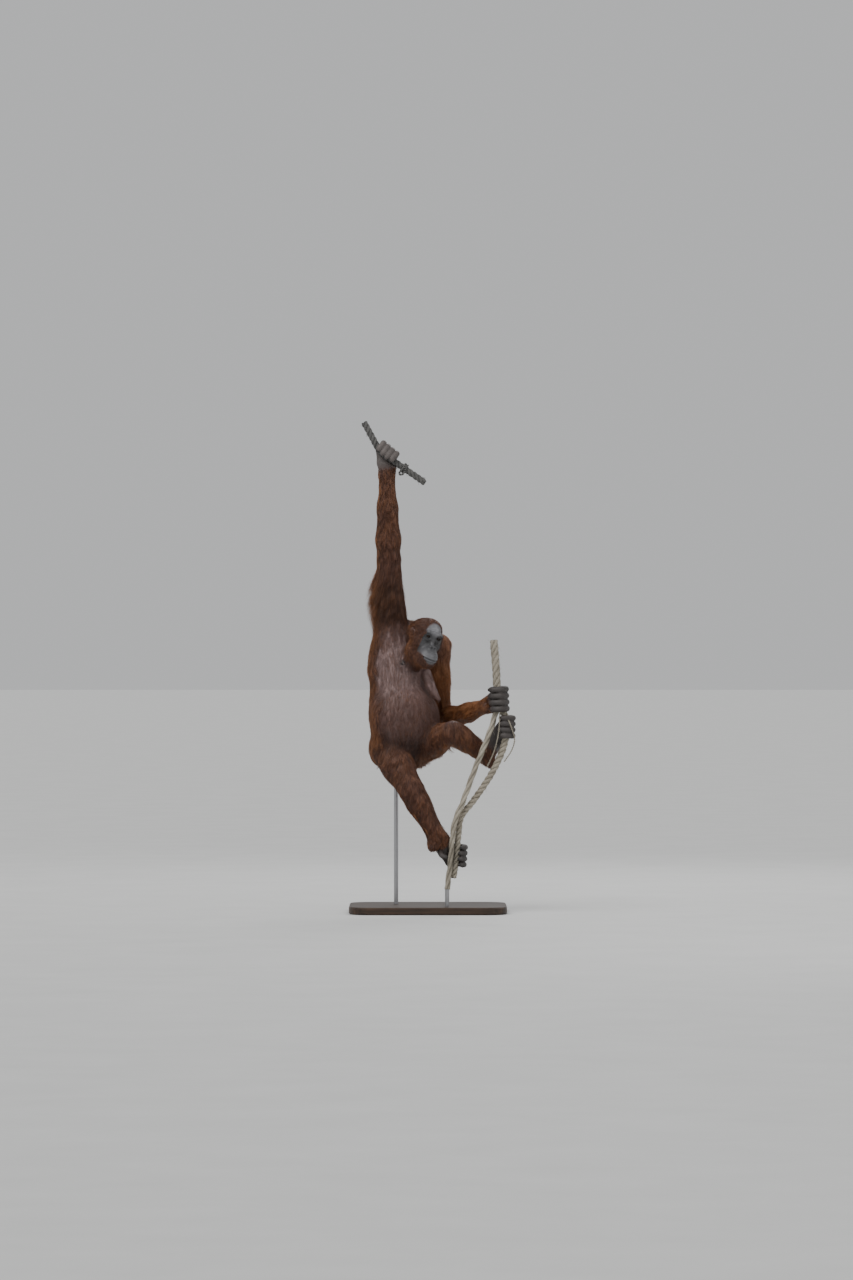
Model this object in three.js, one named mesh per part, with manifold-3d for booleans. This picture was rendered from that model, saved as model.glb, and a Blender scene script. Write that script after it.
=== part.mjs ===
// A life-size adult female orangutan hanging by her right hand from a slanting rope, with her left hand and both
// feet on a second, hanging rope. A flat base and two rods carry her and the ropes. Millimetres, +Z up, and the
// origin is at the middle of the base's underside. Seen along +Y her right side is on the left.
import * as THREE from "three";
import { mergeVertices } from "three/addons/utils/BufferGeometryUtils.js";
import Module from "manifold-3d";

const wasm = await Module();
wasm.setup();

const GAP = 0.35; // between neighbouring pieces
const COARSE = 38; // size of the trunk's facets
const vec = (x, y, z) => new THREE.Vector3(x, y, z);
const mix = (a, b, t) => a.clone().lerp(b, t);
const rad = THREE.MathUtils.degToRad;
const DOWN = vec(0, 0, -1);

// Driving dimensions
const BASE = { width: 660, depth: 520, height: 30, corner: 90, edge: 4 };
const ROD_RADIUS = 9;

const TORSO_YAW = 30; // she faces the viewer, turned to her left
const TORSO_ORIGIN = vec(-115, 10, 700); // middle of the pelvis
const HEAD_TURN = { yaw: 30, pitch: 10, roll: 15 };
const BETWEEN_EYES = vec(25, -165, 1151);

const JOINT = {
  shoulderR: vec(-151, -40, 1176),
  elbowR: vec(-164, -66, 1480),
  wristR: vec(-172, -72, 1829),
  shoulderL: vec(42, 80, 1118),
  elbowL: vec(52, 135, 795),
  wristL: vec(248, -108, 868),
  hipR: vec(-168, -30, 690),
  kneeR: vec(-71, -165, 521),
  ankleR: vec(36, -160, 330),
  hipL: vec(-46, 40, 690),
  kneeL: vec(103, -130, 762),
  ankleL: vec(242, -58, 664),
};
const NECK_BASE = vec(-66, 2, 1152);
const SKULL_BASE = vec(-8, -82, 1150);

// Ropes: each is a path and a radius. The hanging rope parts at the left hand into two strands.
const ROPE_HIGH = {
  path: [
    vec(-266, -101, 2050), vec(-229, -101, 1982), vec(-202, -101, 1936), vec(-134, -101, 1884),
    vec(-14, -101, 1801),
  ],
  radius: 14,
};
const ROPE_UPPER = { path: [vec(275, -150, 1140), vec(284, -150, 1020), vec(293, -150, 856)], radius: 17 };
const ROPE_STRAIGHT = {
  path: [
    vec(286, -153, 848), vec(260, -153, 764), vec(193, -156, 596), vec(147, -162, 470), vec(113, -163, 386),
    vec(101, -161, 302), vec(93, -156, 210), vec(80, -150, 107),
  ],
  radius: 12,
};
const ROPE_TWISTED = {
  path: [
    vec(312, -148, 848), vec(327, -148, 806), vec(324, -148, 731), vec(302, -146, 659), vec(260, -142, 575),
    vec(189, -136, 470), vec(139, -133, 403), vec(127, -134, 323), vec(119, -135, 239), vec(108, -138, 150),
  ],
  radius: 15,
};

// Fields: functions that give the distance to a surface, negative inside
const smoothMin = (a, b, k) => {
  const h = Math.max(k - Math.abs(a - b), 0) / k;
  return Math.min(a, b) - (h * h * k) / 4;
};
const blend = (k, ...fields) => (x, y, z) => fields.reduce((d, f) => smoothMin(d, f(x, y, z), k), 1e4);
const carve = (k, field, ...cuts) => (x, y, z) =>
  cuts.reduce((d, f) => -smoothMin(-d, f(x, y, z), k), field(x, y, z));
const grown = (field, by) => (x, y, z) => field(x, y, z) - by;

// A tapered round length from a to b.
function taper(a, b, ra, rb = ra) {
  const [dx, dy, dz] = [b.x - a.x, b.y - a.y, b.z - a.z];
  const length2 = dx * dx + dy * dy + dz * dz;
  return (x, y, z) => {
    const [px, py, pz] = [x - a.x, y - a.y, z - a.z];
    const t = Math.min(1, Math.max(0, (px * dx + py * dy + pz * dz) / length2));
    return Math.hypot(px - t * dx, py - t * dy, pz - t * dz) - ra - (rb - ra) * t;
  };
}

// A bone chain through several points, with a radius at each.
const chain = (k, ...knots) =>
  blend(k, ...knots.slice(1).map(([p, r], i) => taper(knots[i][0], p, knots[i][1], r)));

// An ellipsoid in a turned frame, at c in that frame.
function egg(frame, c, r) {
  const e = frame.clone().invert().elements;
  return (x, y, z) => {
    const px = e[0] * x + e[4] * y + e[8] * z + e[12] - c[0];
    const py = e[1] * x + e[5] * y + e[9] * z + e[13] - c[1];
    const pz = e[2] * x + e[6] * y + e[10] * z + e[14] - c[2];
    const near = Math.hypot(px / r[0], py / r[1], pz / r[2]);
    const slope = Math.hypot(px / r[0] ** 2, py / r[1] ** 2, pz / r[2] ** 2);
    return slope < 1e-9 ? -Math.min(...r) : (near * (near - 1)) / slope;
  };
}

// Frames. In the torso's, x is her left, y her back and z up. The head's is the same, between her eyes.
const frameAt = (origin, yaw, pitch = 0, roll = 0) =>
  new THREE.Matrix4()
    .makeRotationZ(rad(yaw))
    .multiply(new THREE.Matrix4().makeRotationX(rad(pitch)))
    .multiply(new THREE.Matrix4().makeRotationY(rad(roll)))
    .setPosition(origin);
const TORSO = frameAt(TORSO_ORIGIN, TORSO_YAW);
const HEAD = frameAt(BETWEEN_EYES, HEAD_TURN.yaw, HEAD_TURN.pitch, HEAD_TURN.roll);
const inTorso = (x, y, z) => vec(x, y, z).applyMatrix4(TORSO);
const inHead = (x, y, z) => vec(x, y, z).applyMatrix4(HEAD);

// The body's fields
// Each limb is two lengths with a radius at its start, at its fullest point, further on and at its end.
const LIMB = {
  armR: [
    { from: JOINT.shoulderR, to: JOINT.elbowR, radii: [[0, 50], [0.45, 44], [1, 42]] },
    { from: JOINT.elbowR, to: JOINT.wristR, radii: [[0, 42], [0.24, 49], [0.62, 38], [1, 29]] },
  ],
  armL: [
    { from: JOINT.shoulderL, to: JOINT.elbowL, radii: [[0, 52], [0.45, 42], [1, 41]] },
    { from: JOINT.elbowL, to: JOINT.wristL, radii: [[0, 41], [0.26, 44], [0.62, 35], [1, 27]] },
  ],
  legR: [
    { from: JOINT.hipR, to: JOINT.kneeR, radii: [[0, 76], [0.45, 66], [1, 49]] },
    { from: JOINT.kneeR, to: JOINT.ankleR, radii: [[0, 49], [0.3, 47], [1, 30]] },
  ],
  legL: [
    { from: JOINT.hipL, to: JOINT.kneeL, radii: [[0, 74], [0.5, 60], [1, 43]] },
    { from: JOINT.kneeL, to: JOINT.ankleL, radii: [[0, 43], [0.3, 41], [1, 29]] },
  ],
};
const lengthField = ({ from, to, radii }) => chain(24, ...radii.map(([t, r]) => [mix(from, to, t), r]));
const limbField = ([upper, lower]) => blend(24, lengthField(upper), lengthField(lower));
const neck = chain(30, [NECK_BASE, 66], [mix(NECK_BASE, SKULL_BASE, 0.6), 60], [SKULL_BASE, 55]);
const throat = taper(inTorso(-20, -20, 380), inHead(0, 50, -100), 50, 38);

const torso = blend(
  44,
  egg(TORSO, [0, 6, 2], [118, 92, 88]), // pelvis
  egg(TORSO, [0, -40, 112], [152, 124, 148]), // belly
  egg(TORSO, [0, 18, 200], [124, 92, 190]), // loins and back
  egg(TORSO, [-8, -4, 345], [118, 102, 150]), // ribs
  egg(TORSO, [0, 40, 410], [98, 66, 74]), // shoulder blades
  taper(JOINT.shoulderR, JOINT.shoulderL, 46, 50),
  taper(inTorso(-92, 16, 320), mix(JOINT.shoulderR, JOINT.elbowR, 0.35), 40, 36), // back fold of the armpit
  taper(inTorso(-50, -58, 372), mix(JOINT.shoulderR, JOINT.elbowR, 0.25), 40, 34), // front fold of the armpit
  egg(TORSO, [-48, 44, -30], [60, 60, 56]), // buttocks
  egg(TORSO, [56, 44, -32], [62, 60, 56]),
);
const trunk = blend(40, torso, taper(JOINT.shoulderR, JOINT.elbowR, 50, 42), blend(44, neck, throat));
const BREAST = [vec(-6, -34, 1004), vec(10, -52, 953), vec(27, -60, 920), vec(46, -62, 894)];

const headField = blend(
  20,
  egg(HEAD, [0, 80, 6], [61, 75, 61]), // cranium
  egg(HEAD, [0, 46, 30], [47, 43, 39]), // forehead
  egg(HEAD, [0, 43, -22], [54, 34, 46]), // middle of the face
  egg(HEAD, [-42, 36, -30], [18, 24, 26]), // cheeks
  egg(HEAD, [42, 36, -30], [18, 24, 26]),
  egg(HEAD, [0, 8, -70], [37, 40, 31]), // muzzle
  egg(HEAD, [0, -8, -80], [34, 33, 19]), // upper lip
  egg(HEAD, [0, 0, -106], [29, 36, 17]), // lower lip and chin
  egg(HEAD, [0, 34, -96], [45, 54, 30]), // jaw
  egg(HEAD, [-40, 68, -66], [22, 34, 38]), // corners of the jaw
  egg(HEAD, [40, 68, -66], [22, 34, 38]),
);
const sideways = (side, points) => points.map(([x, y, z]) => inHead(side * x, y, z));
const ORBIT = [
  [11, 3, 4], [17, 2, 12], [28, 4, 17], [39, 11, 13], [44, 19, 2], [39, 16, -11], [27, 8, -16], [15, 4, -9],
];
const RIM = { brow: 7.5, below: 5.5 }; // radius of the bony rim over and under the eye
const orbit = (side) =>
  chain(5, ...sideways(side, [...ORBIT, ORBIT[0]]).map((p, i) => [p, i > 1 && i < 5 ? RIM.brow : RIM.below]));
const faceField = carve(
  6,
  blend(
    8,
    headField,
    orbit(-1),
    orbit(1),
    taper(inHead(0, 16, 6), inHead(0, -4, -36), 8, 9), // bridge of the nose
    egg(HEAD, [-9, -15, -41], [9, 8, 7]), // sides of the nose
    egg(HEAD, [9, -15, -41], [9, 8, 7]),
  ),
  egg(HEAD, [-27, -3, -1], [13, 13, 10.5]), // eye sockets
  egg(HEAD, [27, -3, -1], [13, 13, 10.5]),
);

// From fields and rings to solids
function toSolid(geometry) {
  const bare = geometry.index ? geometry.toNonIndexed() : geometry.clone();
  for (const name of Object.keys(bare.attributes)) if (name !== "position") bare.deleteAttribute(name);
  const merged = mergeVertices(bare, 1e-4);
  return new wasm.Manifold(
    new wasm.Mesh({
      numProp: 3,
      vertProperties: new Float32Array(merged.attributes.position.array),
      triVerts: new Uint32Array(merged.index.array),
    }),
  );
}

function toGeometry(solid) {
  const mesh = solid.getMesh();
  const points = new Float32Array(mesh.numVert * 3);
  for (let i = 0; i < mesh.numVert; i++) {
    points.set(mesh.vertProperties.subarray(i * mesh.numProp, i * mesh.numProp + 3), i * 3);
  }
  const geometry = new THREE.BufferGeometry();
  geometry.setAttribute("position", new THREE.BufferAttribute(points, 3));
  geometry.setIndex(new THREE.BufferAttribute(mesh.triVerts, 1));
  geometry.computeVertexNormals();
  return geometry;
}

// A node's largest closed surface.
const largest = (solid) =>
  solid.decompose().reduce((best, piece) => (piece.volume() > best.volume() ? piece : best));

// Grid lines from low to high, a step apart, or a fine step where it lies between fineLow and fineHigh.
function gridLines(low, high, step, fineLow = high, fineHigh = high, fine = step) {
  const lines = [low];
  while (lines.at(-1) < high) {
    const here = lines.at(-1);
    lines.push(here + (here >= fineLow && here < fineHigh ? fine : step));
  }
  return lines;
}

// Meshes a field's zero level: one vertex in each grid cell that the level crosses, at the mean of its edge
// crossings, and one pair of triangles across each crossed grid line. frame turns the grid.
function surface(field, [xs, ys, zs], frame = new THREE.Matrix4()) {
  const [nx, ny, nz] = [xs.length, ys.length, zs.length];
  const at = (i, j, k) => (k * ny + j) * nx + i;
  const point = vec(0, 0, 0);
  const value = new Float32Array(nx * ny * nz);
  for (let k = 0; k < nz; k++)
    for (let j = 0; j < ny; j++)
      for (let i = 0; i < nx; i++) {
        point.set(xs[i], ys[j], zs[k]).applyMatrix4(frame);
        const rim = [i, j, k].includes(0) || i === nx - 1 || j === ny - 1 || k === nz - 1;
        value[at(i, j, k)] = rim ? 1 : field(point.x, point.y, point.z) || 1e-6;
      }
  const positions = [];
  const cellVertex = new Map();
  const ends = [0, 1];
  for (let k = 0; k < nz - 1; k++)
    for (let j = 0; j < ny - 1; j++)
      for (let i = 0; i < nx - 1; i++) {
        const sum = vec(0, 0, 0);
        let crossings = 0;
        const cross = (a, b, pa, pb) => {
          const [va, vb] = [value[a], value[b]];
          if (va < 0 === vb < 0) return;
          sum.add(pa.lerp(pb, va / (va - vb)));
          crossings += 1;
        };
        const corner = (di, dj, dk) => vec(xs[i + di], ys[j + dj], zs[k + dk]);
        for (const p of ends)
          for (const q of ends) {
            cross(at(i, j + p, k + q), at(i + 1, j + p, k + q), corner(0, p, q), corner(1, p, q));
            cross(at(i + p, j, k + q), at(i + p, j + 1, k + q), corner(p, 0, q), corner(p, 1, q));
            cross(at(i + p, j + q, k), at(i + p, j + q, k + 1), corner(p, q, 0), corner(p, q, 1));
          }
        if (!crossings) continue;
        cellVertex.set(at(i, j, k), positions.length / 3);
        sum.divideScalar(crossings).applyMatrix4(frame);
        positions.push(sum.x, sum.y, sum.z);
      }
  const triangles = [];
  const distance = (a, b) =>
    Math.hypot(...[0, 1, 2].map((axis) => positions[a * 3 + axis] - positions[b * 3 + axis]));
  const quad = (inside, ...cells) => {
    const [a, b, c, d] = cells.map((cell) => cellVertex.get(cell));
    const halves = distance(a, c) < distance(b, d) ? [[a, b, c], [a, c, d]] : [[a, b, d], [b, c, d]];
    for (const [p, q, r] of halves) triangles.push(...(inside ? [p, q, r] : [p, r, q]));
  };
  for (let k = 0; k < nz - 1; k++)
    for (let j = 0; j < ny - 1; j++)
      for (let i = 0; i < nx - 1; i++) {
        const inside = value[at(i, j, k)] < 0;
        if (inside !== value[at(i + 1, j, k)] < 0)
          quad(inside, at(i, j - 1, k - 1), at(i, j, k - 1), at(i, j, k), at(i, j - 1, k));
        if (inside !== value[at(i, j + 1, k)] < 0)
          quad(inside, at(i - 1, j, k - 1), at(i - 1, j, k), at(i, j, k), at(i, j, k - 1));
        if (inside !== value[at(i, j, k + 1)] < 0)
          quad(inside, at(i - 1, j - 1, k), at(i, j - 1, k), at(i, j, k), at(i - 1, j, k));
      }
  const geometry = new THREE.BufferGeometry();
  geometry.setAttribute("position", new THREE.Float32BufferAttribute(positions, 3));
  geometry.setIndex(triangles);
  return toSolid(geometry);
}

// The same over the box round some points, with a margin and an even step.
function surfaceRound(field, points, margin, step = COARSE) {
  const box = new THREE.Box3().setFromPoints(points).expandByScalar(margin);
  return surface(field, ["x", "y", "z"].map((axis) => gridLines(box.min[axis], box.max[axis], step)));
}

// A closed skin over rings of points, each ring a loop of the same length, with a fan at each end. The last fan
// meets at tip, or at the middle of the last ring.
function loft(rings, tip) {
  const count = rings[0].length;
  const points = rings.flat();
  const triangles = [];
  for (let r = 0; r < rings.length - 1; r++)
    for (let i = 0; i < count; i++) {
      const [a, b] = [r * count + i, r * count + ((i + 1) % count)];
      triangles.push(a, b, b + count, a, b + count, a + count);
    }
  const centre = (ring) => ring.reduce((sum, p) => sum.add(p), vec(0, 0, 0)).divideScalar(count);
  const [first, last] = [points.length, points.length + 1];
  points.push(centre(rings[0]), tip ?? centre(rings.at(-1)));
  const lastRing = (rings.length - 1) * count;
  for (let i = 0; i < count; i++) {
    const next = (i + 1) % count;
    triangles.push(first, next, i, last, lastRing + i, lastRing + next);
  }
  const geometry = new THREE.BufferGeometry().setFromPoints(points);
  geometry.setIndex(triangles);
  const solid = toSolid(geometry);
  if (solid.volume() > 0) return solid;
  geometry.setIndex(triangles.map((_, i) => triangles[i - (i % 3) + 2 - (i % 3)]));
  return toSolid(geometry);
}

// A tube of many sides along a curve through points, with its radius given along its length, 0 to 1, and round
// its section, in turns.
function tube(points, radiusAt, { sides = 8, steps = 12 } = {}) {
  const curve = new THREE.CatmullRomCurve3(points, false, "centripetal");
  const frames = curve.computeFrenetFrames(steps);
  const rings = [];
  for (let s = 0; s <= steps; s++) {
    const centre = curve.getPointAt(s / steps);
    const ring = [];
    for (let i = 0; i < sides; i++) {
      const angle = (2 * Math.PI * i) / sides;
      const r = radiusAt(s / steps, i / sides);
      ring.push(
        centre
          .clone()
          .addScaledVector(frames.normals[s], r * Math.cos(angle))
          .addScaledVector(frames.binormals[s], r * Math.sin(angle)),
      );
    }
    rings.push(ring);
  }
  return loft(rings);
}

// A closed sleeve round the line from a to b, out to a field's surface, and past each end by before and after.
function sleeve(field, a, b, { before = 0, after = 0, sides = 10, steps = 7 } = {}) {
  const axis = b.clone().sub(a).normalize();
  const side = axis.clone().cross(Math.abs(axis.z) > 0.8 ? vec(0, 1, 0) : vec(0, 0, 1)).normalize();
  const up = axis.clone().cross(side);
  const [low, high] = [a.clone().addScaledVector(axis, -before), b.clone().addScaledVector(axis, after)];
  const rings = [];
  for (let s = 0; s <= steps; s++) {
    const centre = mix(low, high, s / steps);
    const ring = [];
    for (let i = 0; i < sides; i++) {
      const angle = (2 * Math.PI * i) / sides;
      const out = side.clone().multiplyScalar(Math.cos(angle)).addScaledVector(up, Math.sin(angle));
      const p = centre.clone();
      for (let n = 0; n < 40; n++) p.addScaledVector(out, -0.9 * field(p.x, p.y, p.z));
      ring.push(p);
    }
    rings.push(ring);
  }
  return loft(rings);
}

// Keeps what lies on the far side of the plane through point, in the direction of normal, less half the gap.
const beyond = (solid, point, normal) => {
  const n = normal.clone().normalize();
  return solid.trimByPlane([n.x, n.y, n.z], n.dot(point) + GAP / 2);
};
const before = (solid, point, normal) => beyond(solid, point, normal.clone().negate());

// A rope of turned strands, whose radius at its last point is end times that at its first. With an extra, it is the
// plain room round the rope.
const LAY_TURN = 95; // length of one turn of a rope's strands
const STRANDS = 3;
const ROPE_STEP = 23; // between a rope's rings
const STRAND_DEPTH = 0.07; // how far the strands stand out, as a share of the rope's radius

function rope({ path, radius }, extra = 0, end = 1) {
  const length = new THREE.CatmullRomCurve3(path, false, "centripetal").getLength();
  const steps = Math.round(length / ROPE_STEP);
  const lobes = (t, turn) => {
    const wave = Math.cos(2 * Math.PI * STRANDS * (turn + (t * length) / LAY_TURN));
    return radius * (1 + (end - 1) * t) * (extra ? 1 : 1 - STRAND_DEPTH * (1 - wave)) + extra;
  };
  return tube(path, lobes, { sides: 6, steps });
}

// Hands and feet
// Four digits that close round a rope, each an arc about the rope's line. That line runs from low to high, angle
// 0 is the direction out, and the digits turn from one angle to another.
const SKIN_ROOM = 1.5; // between a digit and its rope
const DIGIT_PARTS = 6; // lengths of a digit's arc
const KNUCKLE_RISE = 0.08;
function grip({ low, high, out, ropeRadius, from, to, width, reach }) {
  const axis = high.clone().sub(low);
  const pitch = axis.length() / reach.length;
  axis.normalize();
  const e1 = out.clone().addScaledVector(axis, -out.dot(axis)).normalize();
  const e2 = axis.clone().cross(e1);
  return reach.map((share, i) => {
    const centre = low.clone().addScaledVector(axis, (i + 0.5) * pitch);
    const ring = ropeRadius + width / 2 + SKIN_ROOM;
    const points = [];
    for (let step = 0; step <= DIGIT_PARTS; step++) {
      const t = step / DIGIT_PARTS;
      const angle = rad(from + (to - from) * share * t);
      const knuckled = ring * (1 + KNUCKLE_RISE * Math.abs(Math.sin(2.5 * Math.PI * t)));
      points.push(
        centre
          .clone()
          .addScaledVector(e1, knuckled * Math.cos(angle))
          .addScaledVector(e2, knuckled * Math.sin(angle)),
      );
    }
    return { points, radius: width / 2 };
  });
}

// A digit narrows a little and is rounded over its last seventh.
function digit({ points, radius }) {
  const round = (t) => radius * (1 - 0.14 * t) * Math.sqrt(1 - 0.75 * Math.max(0, (t - 0.85) / 0.15) ** 2);
  return tube(points, round, { sides: 6, steps: 6 });
}

const HAND_L = grip({
  low: vec(294, -150, 841), high: vec(289, -150, 949), out: vec(1, 0, 0),
  ropeRadius: 17.5, from: 62, to: -168, width: 27, reach: [0.94, 1, 1, 0.96],
});
const HAND_R = grip({
  low: vec(-213, -101, 1948), high: vec(-141, -101, 1890), out: vec(0.42, 0, 0.9),
  ropeRadius: 14.6, from: -95, to: 118, width: 26, reach: [0.95, 1, 1, 0.95],
});
const FOOT_L = grip({
  low: vec(324, -148, 731), high: vec(326, -148, 829), out: vec(1, 0, 0),
  ropeRadius: 15.5, from: 95, to: -150, width: 24.5, reach: [0.95, 1, 1, 0.95],
});
const FOOT_R = grip({
  low: vec(106, -148, 196), high: vec(113, -149, 292), out: vec(1, 0, 0),
  ropeRadius: 28, from: 120.5, to: -66, width: 24, reach: [0.95, 1, 1, 0.95],
});

const PALM_STEP = 20; // size of a palm's facets

// A palm or sole is a smooth web from the wrist or ankle to the roots of the digits.
function extremity({ digits, root, normal, rootRadius, middleRadius, web, thumb }) {
  const fans = digits.flatMap(({ points, radius }) => {
    const middle = mix(root, points[0], 0.5);
    return [taper(root, middle, rootRadius, middleRadius), taper(middle, points[0], middleRadius, radius)];
  });
  const corners = [root, ...digits.map(({ points }) => points[0]), ...web.flatMap(([a, b]) => [a, b])];
  const flesh = blend(10, ...fans, ...web.map((length) => taper(...length)));
  const palm = surfaceRound(flesh, corners, 50, PALM_STEP);
  let solid = beyond(palm, root, normal);
  const rooted = digits.map(({ points, radius }) => ({ points: [mix(root, points[0], 0.66), ...points], radius }));
  for (const one of [...rooted, thumb]) solid = solid.add(digit(one));
  const ropes = [ROPE_HIGH, ROPE_UPPER, ROPE_STRAIGHT, ROPE_TWISTED];
  for (const held of ropes) solid = solid.subtract(rope(held, GAP));
  return largest(solid);
}

// Nodes
const group = new THREE.Group();
const LOOK = {
  coat: { color: 0x6b3524, roughness: 0.85 },
  belly: { color: 0x4b3029, roughness: 0.75 },
  skin: { color: 0x2f2c2e, roughness: 0.6 },
  face: { color: 0x45454a, roughness: 0.55 },
  eye: { color: 0x1a1008, roughness: 0.1 },
  rope: { color: 0x8b8172, roughness: 0.9 },
  darkRope: { color: 0x3b3a38, roughness: 0.9 },
  base: { color: 0x2b2622, roughness: 0.6 },
  rod: { color: 0x55585b, roughness: 0.35, metalness: 1 },
};
const nodes = new Map();
const node = (name, solid, look) => nodes.set(name, { solid: largest(solid), look });

// Where each piece ends and in which direction.
const along = (a, b) => b.clone().sub(a).normalize();
const bend = (a, b, c) => along(a, b).add(along(b, c)).normalize();
const CUT = {
  shoulderR: [mix(JOINT.shoulderR, JOINT.elbowR, 0.14), along(JOINT.shoulderR, JOINT.elbowR)],
  elbowR: [JOINT.elbowR, bend(JOINT.shoulderR, JOINT.elbowR, JOINT.wristR)],
  elbowL: [JOINT.elbowL, bend(JOINT.shoulderL, JOINT.elbowL, JOINT.wristL)],
  kneeR: [JOINT.kneeR, bend(JOINT.hipR, JOINT.kneeR, JOINT.ankleR)],
  kneeL: [JOINT.kneeL, bend(JOINT.hipL, JOINT.kneeL, JOINT.ankleL)],
  wristR: [JOINT.wristR, along(JOINT.elbowR, JOINT.wristR)],
  wristL: [JOINT.wristL, along(JOINT.elbowL, JOINT.wristL)],
  ankleR: [JOINT.ankleR, bend(JOINT.kneeR, JOINT.ankleR, FOOT_R[1].points[0])],
  ankleL: [JOINT.ankleL, bend(JOINT.kneeL, JOINT.ankleL, FOOT_L[1].points[0])],
  waist: [inTorso(0, 0, 222), vec(0, 0, 1)],
};

// Head, eyes and ears
const HEAD_LINES = [
  gridLines(-90, 90, 19, -50, 48, 10.8),
  gridLines(-76, 192, 20, -76, 16, 11.2),
  gridLines(-150, 100, 19, -128, 20, 10.8),
];
const EYE = { radius: 12, at: [26, 14, -1], lid: 3.2, opening: [11.5, 16, 5.4] };
const NOSTRIL = { at: [7, -24, -43], size: [4, 8, 4.6] };
const ball = (radius, frame, [x, y, z], [sx, sy, sz] = [1, 1, 1], detail = 10) =>
  toSolid(
    new THREE.SphereGeometry(radius, detail, Math.round(detail * 0.7)).applyMatrix4(
      frame.clone().multiply(new THREE.Matrix4().makeTranslation(x, y, z)).scale(vec(sx, sy, sz)),
    ),
  );

// The point of a field's surface that is met first on the way from outside to inside.
function meets(field, outside, inside) {
  const p = outside.clone();
  const step = along(outside, inside);
  for (let i = 0; i < 60; i++) p.addScaledVector(step, 0.7 * field(p.x, p.y, p.z));
  return p;
}

// The mouth runs round the muzzle, and its corners are raised.
const MOUTH = { height: -91, corner: 5, angles: [-64, -48, -32, -16, 0, 16, 32, 48, 64] };
const mouthLine = MOUTH.angles.map((angle) => {
  const [sin, cos] = [Math.sin(rad(angle)), Math.cos(rad(angle))];
  const height = MOUTH.height + MOUTH.corner * (angle / MOUTH.angles.at(-1)) ** 2;
  return meets(faceField, inHead(90 * sin, 6 - 90 * cos, height), inHead(0, 6, height));
});
const lip = (drop, inward, radiusAt) => {
  const line = mouthLine.map((p) => p.clone().add(inHead(0, inward, drop)).sub(inHead(0, 0, 0)));
  return tube(line, radiusAt, { sides: 5, steps: 11 });
};
const full = (radius) => (t) => radius * Math.sqrt(Math.sin(Math.PI * (0.04 + 0.92 * t)));

let head = surface(faceField, HEAD_LINES, HEAD);
head = head.add(lip(4.5, 0.5, full(4.2))); // upper lip
head = head.add(lip(-5, 1.5, full(5))); // lower lip
head = head.subtract(lip(0, -1.5, () => 2.2)); // line of the mouth
const eyes = new Map();
for (const [side, name] of [[-1, "right"], [1, "left"]]) {
  const at = [side * EYE.at[0], EYE.at[1], EYE.at[2]];
  head = head.add(ball(EYE.radius + EYE.lid, HEAD, at));
  head = head.subtract(ball(EYE.radius + GAP, HEAD, at));
  const [w, d, h] = EYE.opening;
  head = head.subtract(ball(1, HEAD, [at[0], at[1] - 16, at[2]], [w, d, h]));
  head = head.subtract(ball(1, HEAD, [side * NOSTRIL.at[0], NOSTRIL.at[1], NOSTRIL.at[2]], NOSTRIL.size, 8));
  eyes.set(name, ball(EYE.radius, HEAD, at));
}
node("head", head, LOOK.face);
for (const [name, solid] of eyes) node(`eye_${name}`, solid, LOOK.eye);

// Pockets for the head and ears in what lies next to them. The coarse grid cuts corners, so its field is grown.
const ROOM_LINES = [gridLines(-95, 95, 17), gridLines(-85, 195, 17), gridLines(-160, 105, 17)];
const headRoom = surface(grown(faceField, 3.4), ROOM_LINES, HEAD);
const earRooms = [-1, 1].map((side) => ball(1, HEAD, [side * 67, 68, -6], [17, 25, 28]));
for (const [side, name] of [[-1, "right"], [1, "left"]]) {
  const field = carve(
    3,
    blend(4, egg(HEAD, [side * 64, 66, -8], [9, 15, 19]), egg(HEAD, [side * 67, 76, 2], [6, 9, 13])),
    egg(HEAD, [side * 75, 61, -7], [9, 9, 13]),
  );
  const corners = [inHead(side * 50, 40, -34), inHead(side * 80, 100, 24)];
  node(`ear_${name}`, surfaceRound(field, corners, 6, 7).subtract(headRoom), LOOK.face);
}

// Trunk, neck and breast
const lengthSolid = (length, extra = 0) => {
  const { from, to, radii } = length;
  const ends = { before: radii[0][1] * 0.93, after: radii.at(-1)[1] * 0.93, steps: 9 };
  return sleeve(grown(lengthField(length), extra), from, to, ends);
};
const room = (limb) => lengthSolid(limb[0], 0.6).add(lengthSolid(limb[1], 0.6));
const trunkLines = [
  gridLines(-310, 150, COARSE),
  gridLines(-240, 220, COARSE),
  gridLines(560, 1320, COARSE, 1060, 1320, 29),
];
const trunkRoom = surface(grown(trunk, 0.8), trunkLines);
let whole = surface(trunk, trunkLines);
const hollows = [room(LIMB.armL), room(LIMB.legR), room(LIMB.legL), headRoom, ...earRooms];
for (const hollow of hollows) whole = whole.subtract(hollow);
whole = before(whole, ...CUT.shoulderR);

// The neck's node is the part of the trunk's solid inside a cylinder that starts part of the way up the neck.
const NECK_CUT = { radius: 104, start: 0.42, end: 2.2 };
const neckZone = (radius, start) => {
  const [from, to] = [mix(NECK_BASE, SKULL_BASE, start), mix(NECK_BASE, SKULL_BASE, NECK_CUT.end)];
  const zone = new THREE.CylinderGeometry(radius, radius, from.distanceTo(to), 20);
  const turn = new THREE.Quaternion().setFromUnitVectors(vec(0, 1, 0), along(from, to));
  return toSolid(zone.applyQuaternion(turn).translate(...mix(from, to, 0.5).toArray()));
};
node("neck", whole.intersect(neckZone(NECK_CUT.radius, NECK_CUT.start)), LOOK.belly);
const torsoWhole = whole.subtract(neckZone(NECK_CUT.radius + GAP, NECK_CUT.start - GAP / 100));
node("chest", beyond(torsoWhole, ...CUT.waist), LOOK.belly);
node("belly_and_hips", before(torsoWhole, ...CUT.waist), LOOK.belly);
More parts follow.
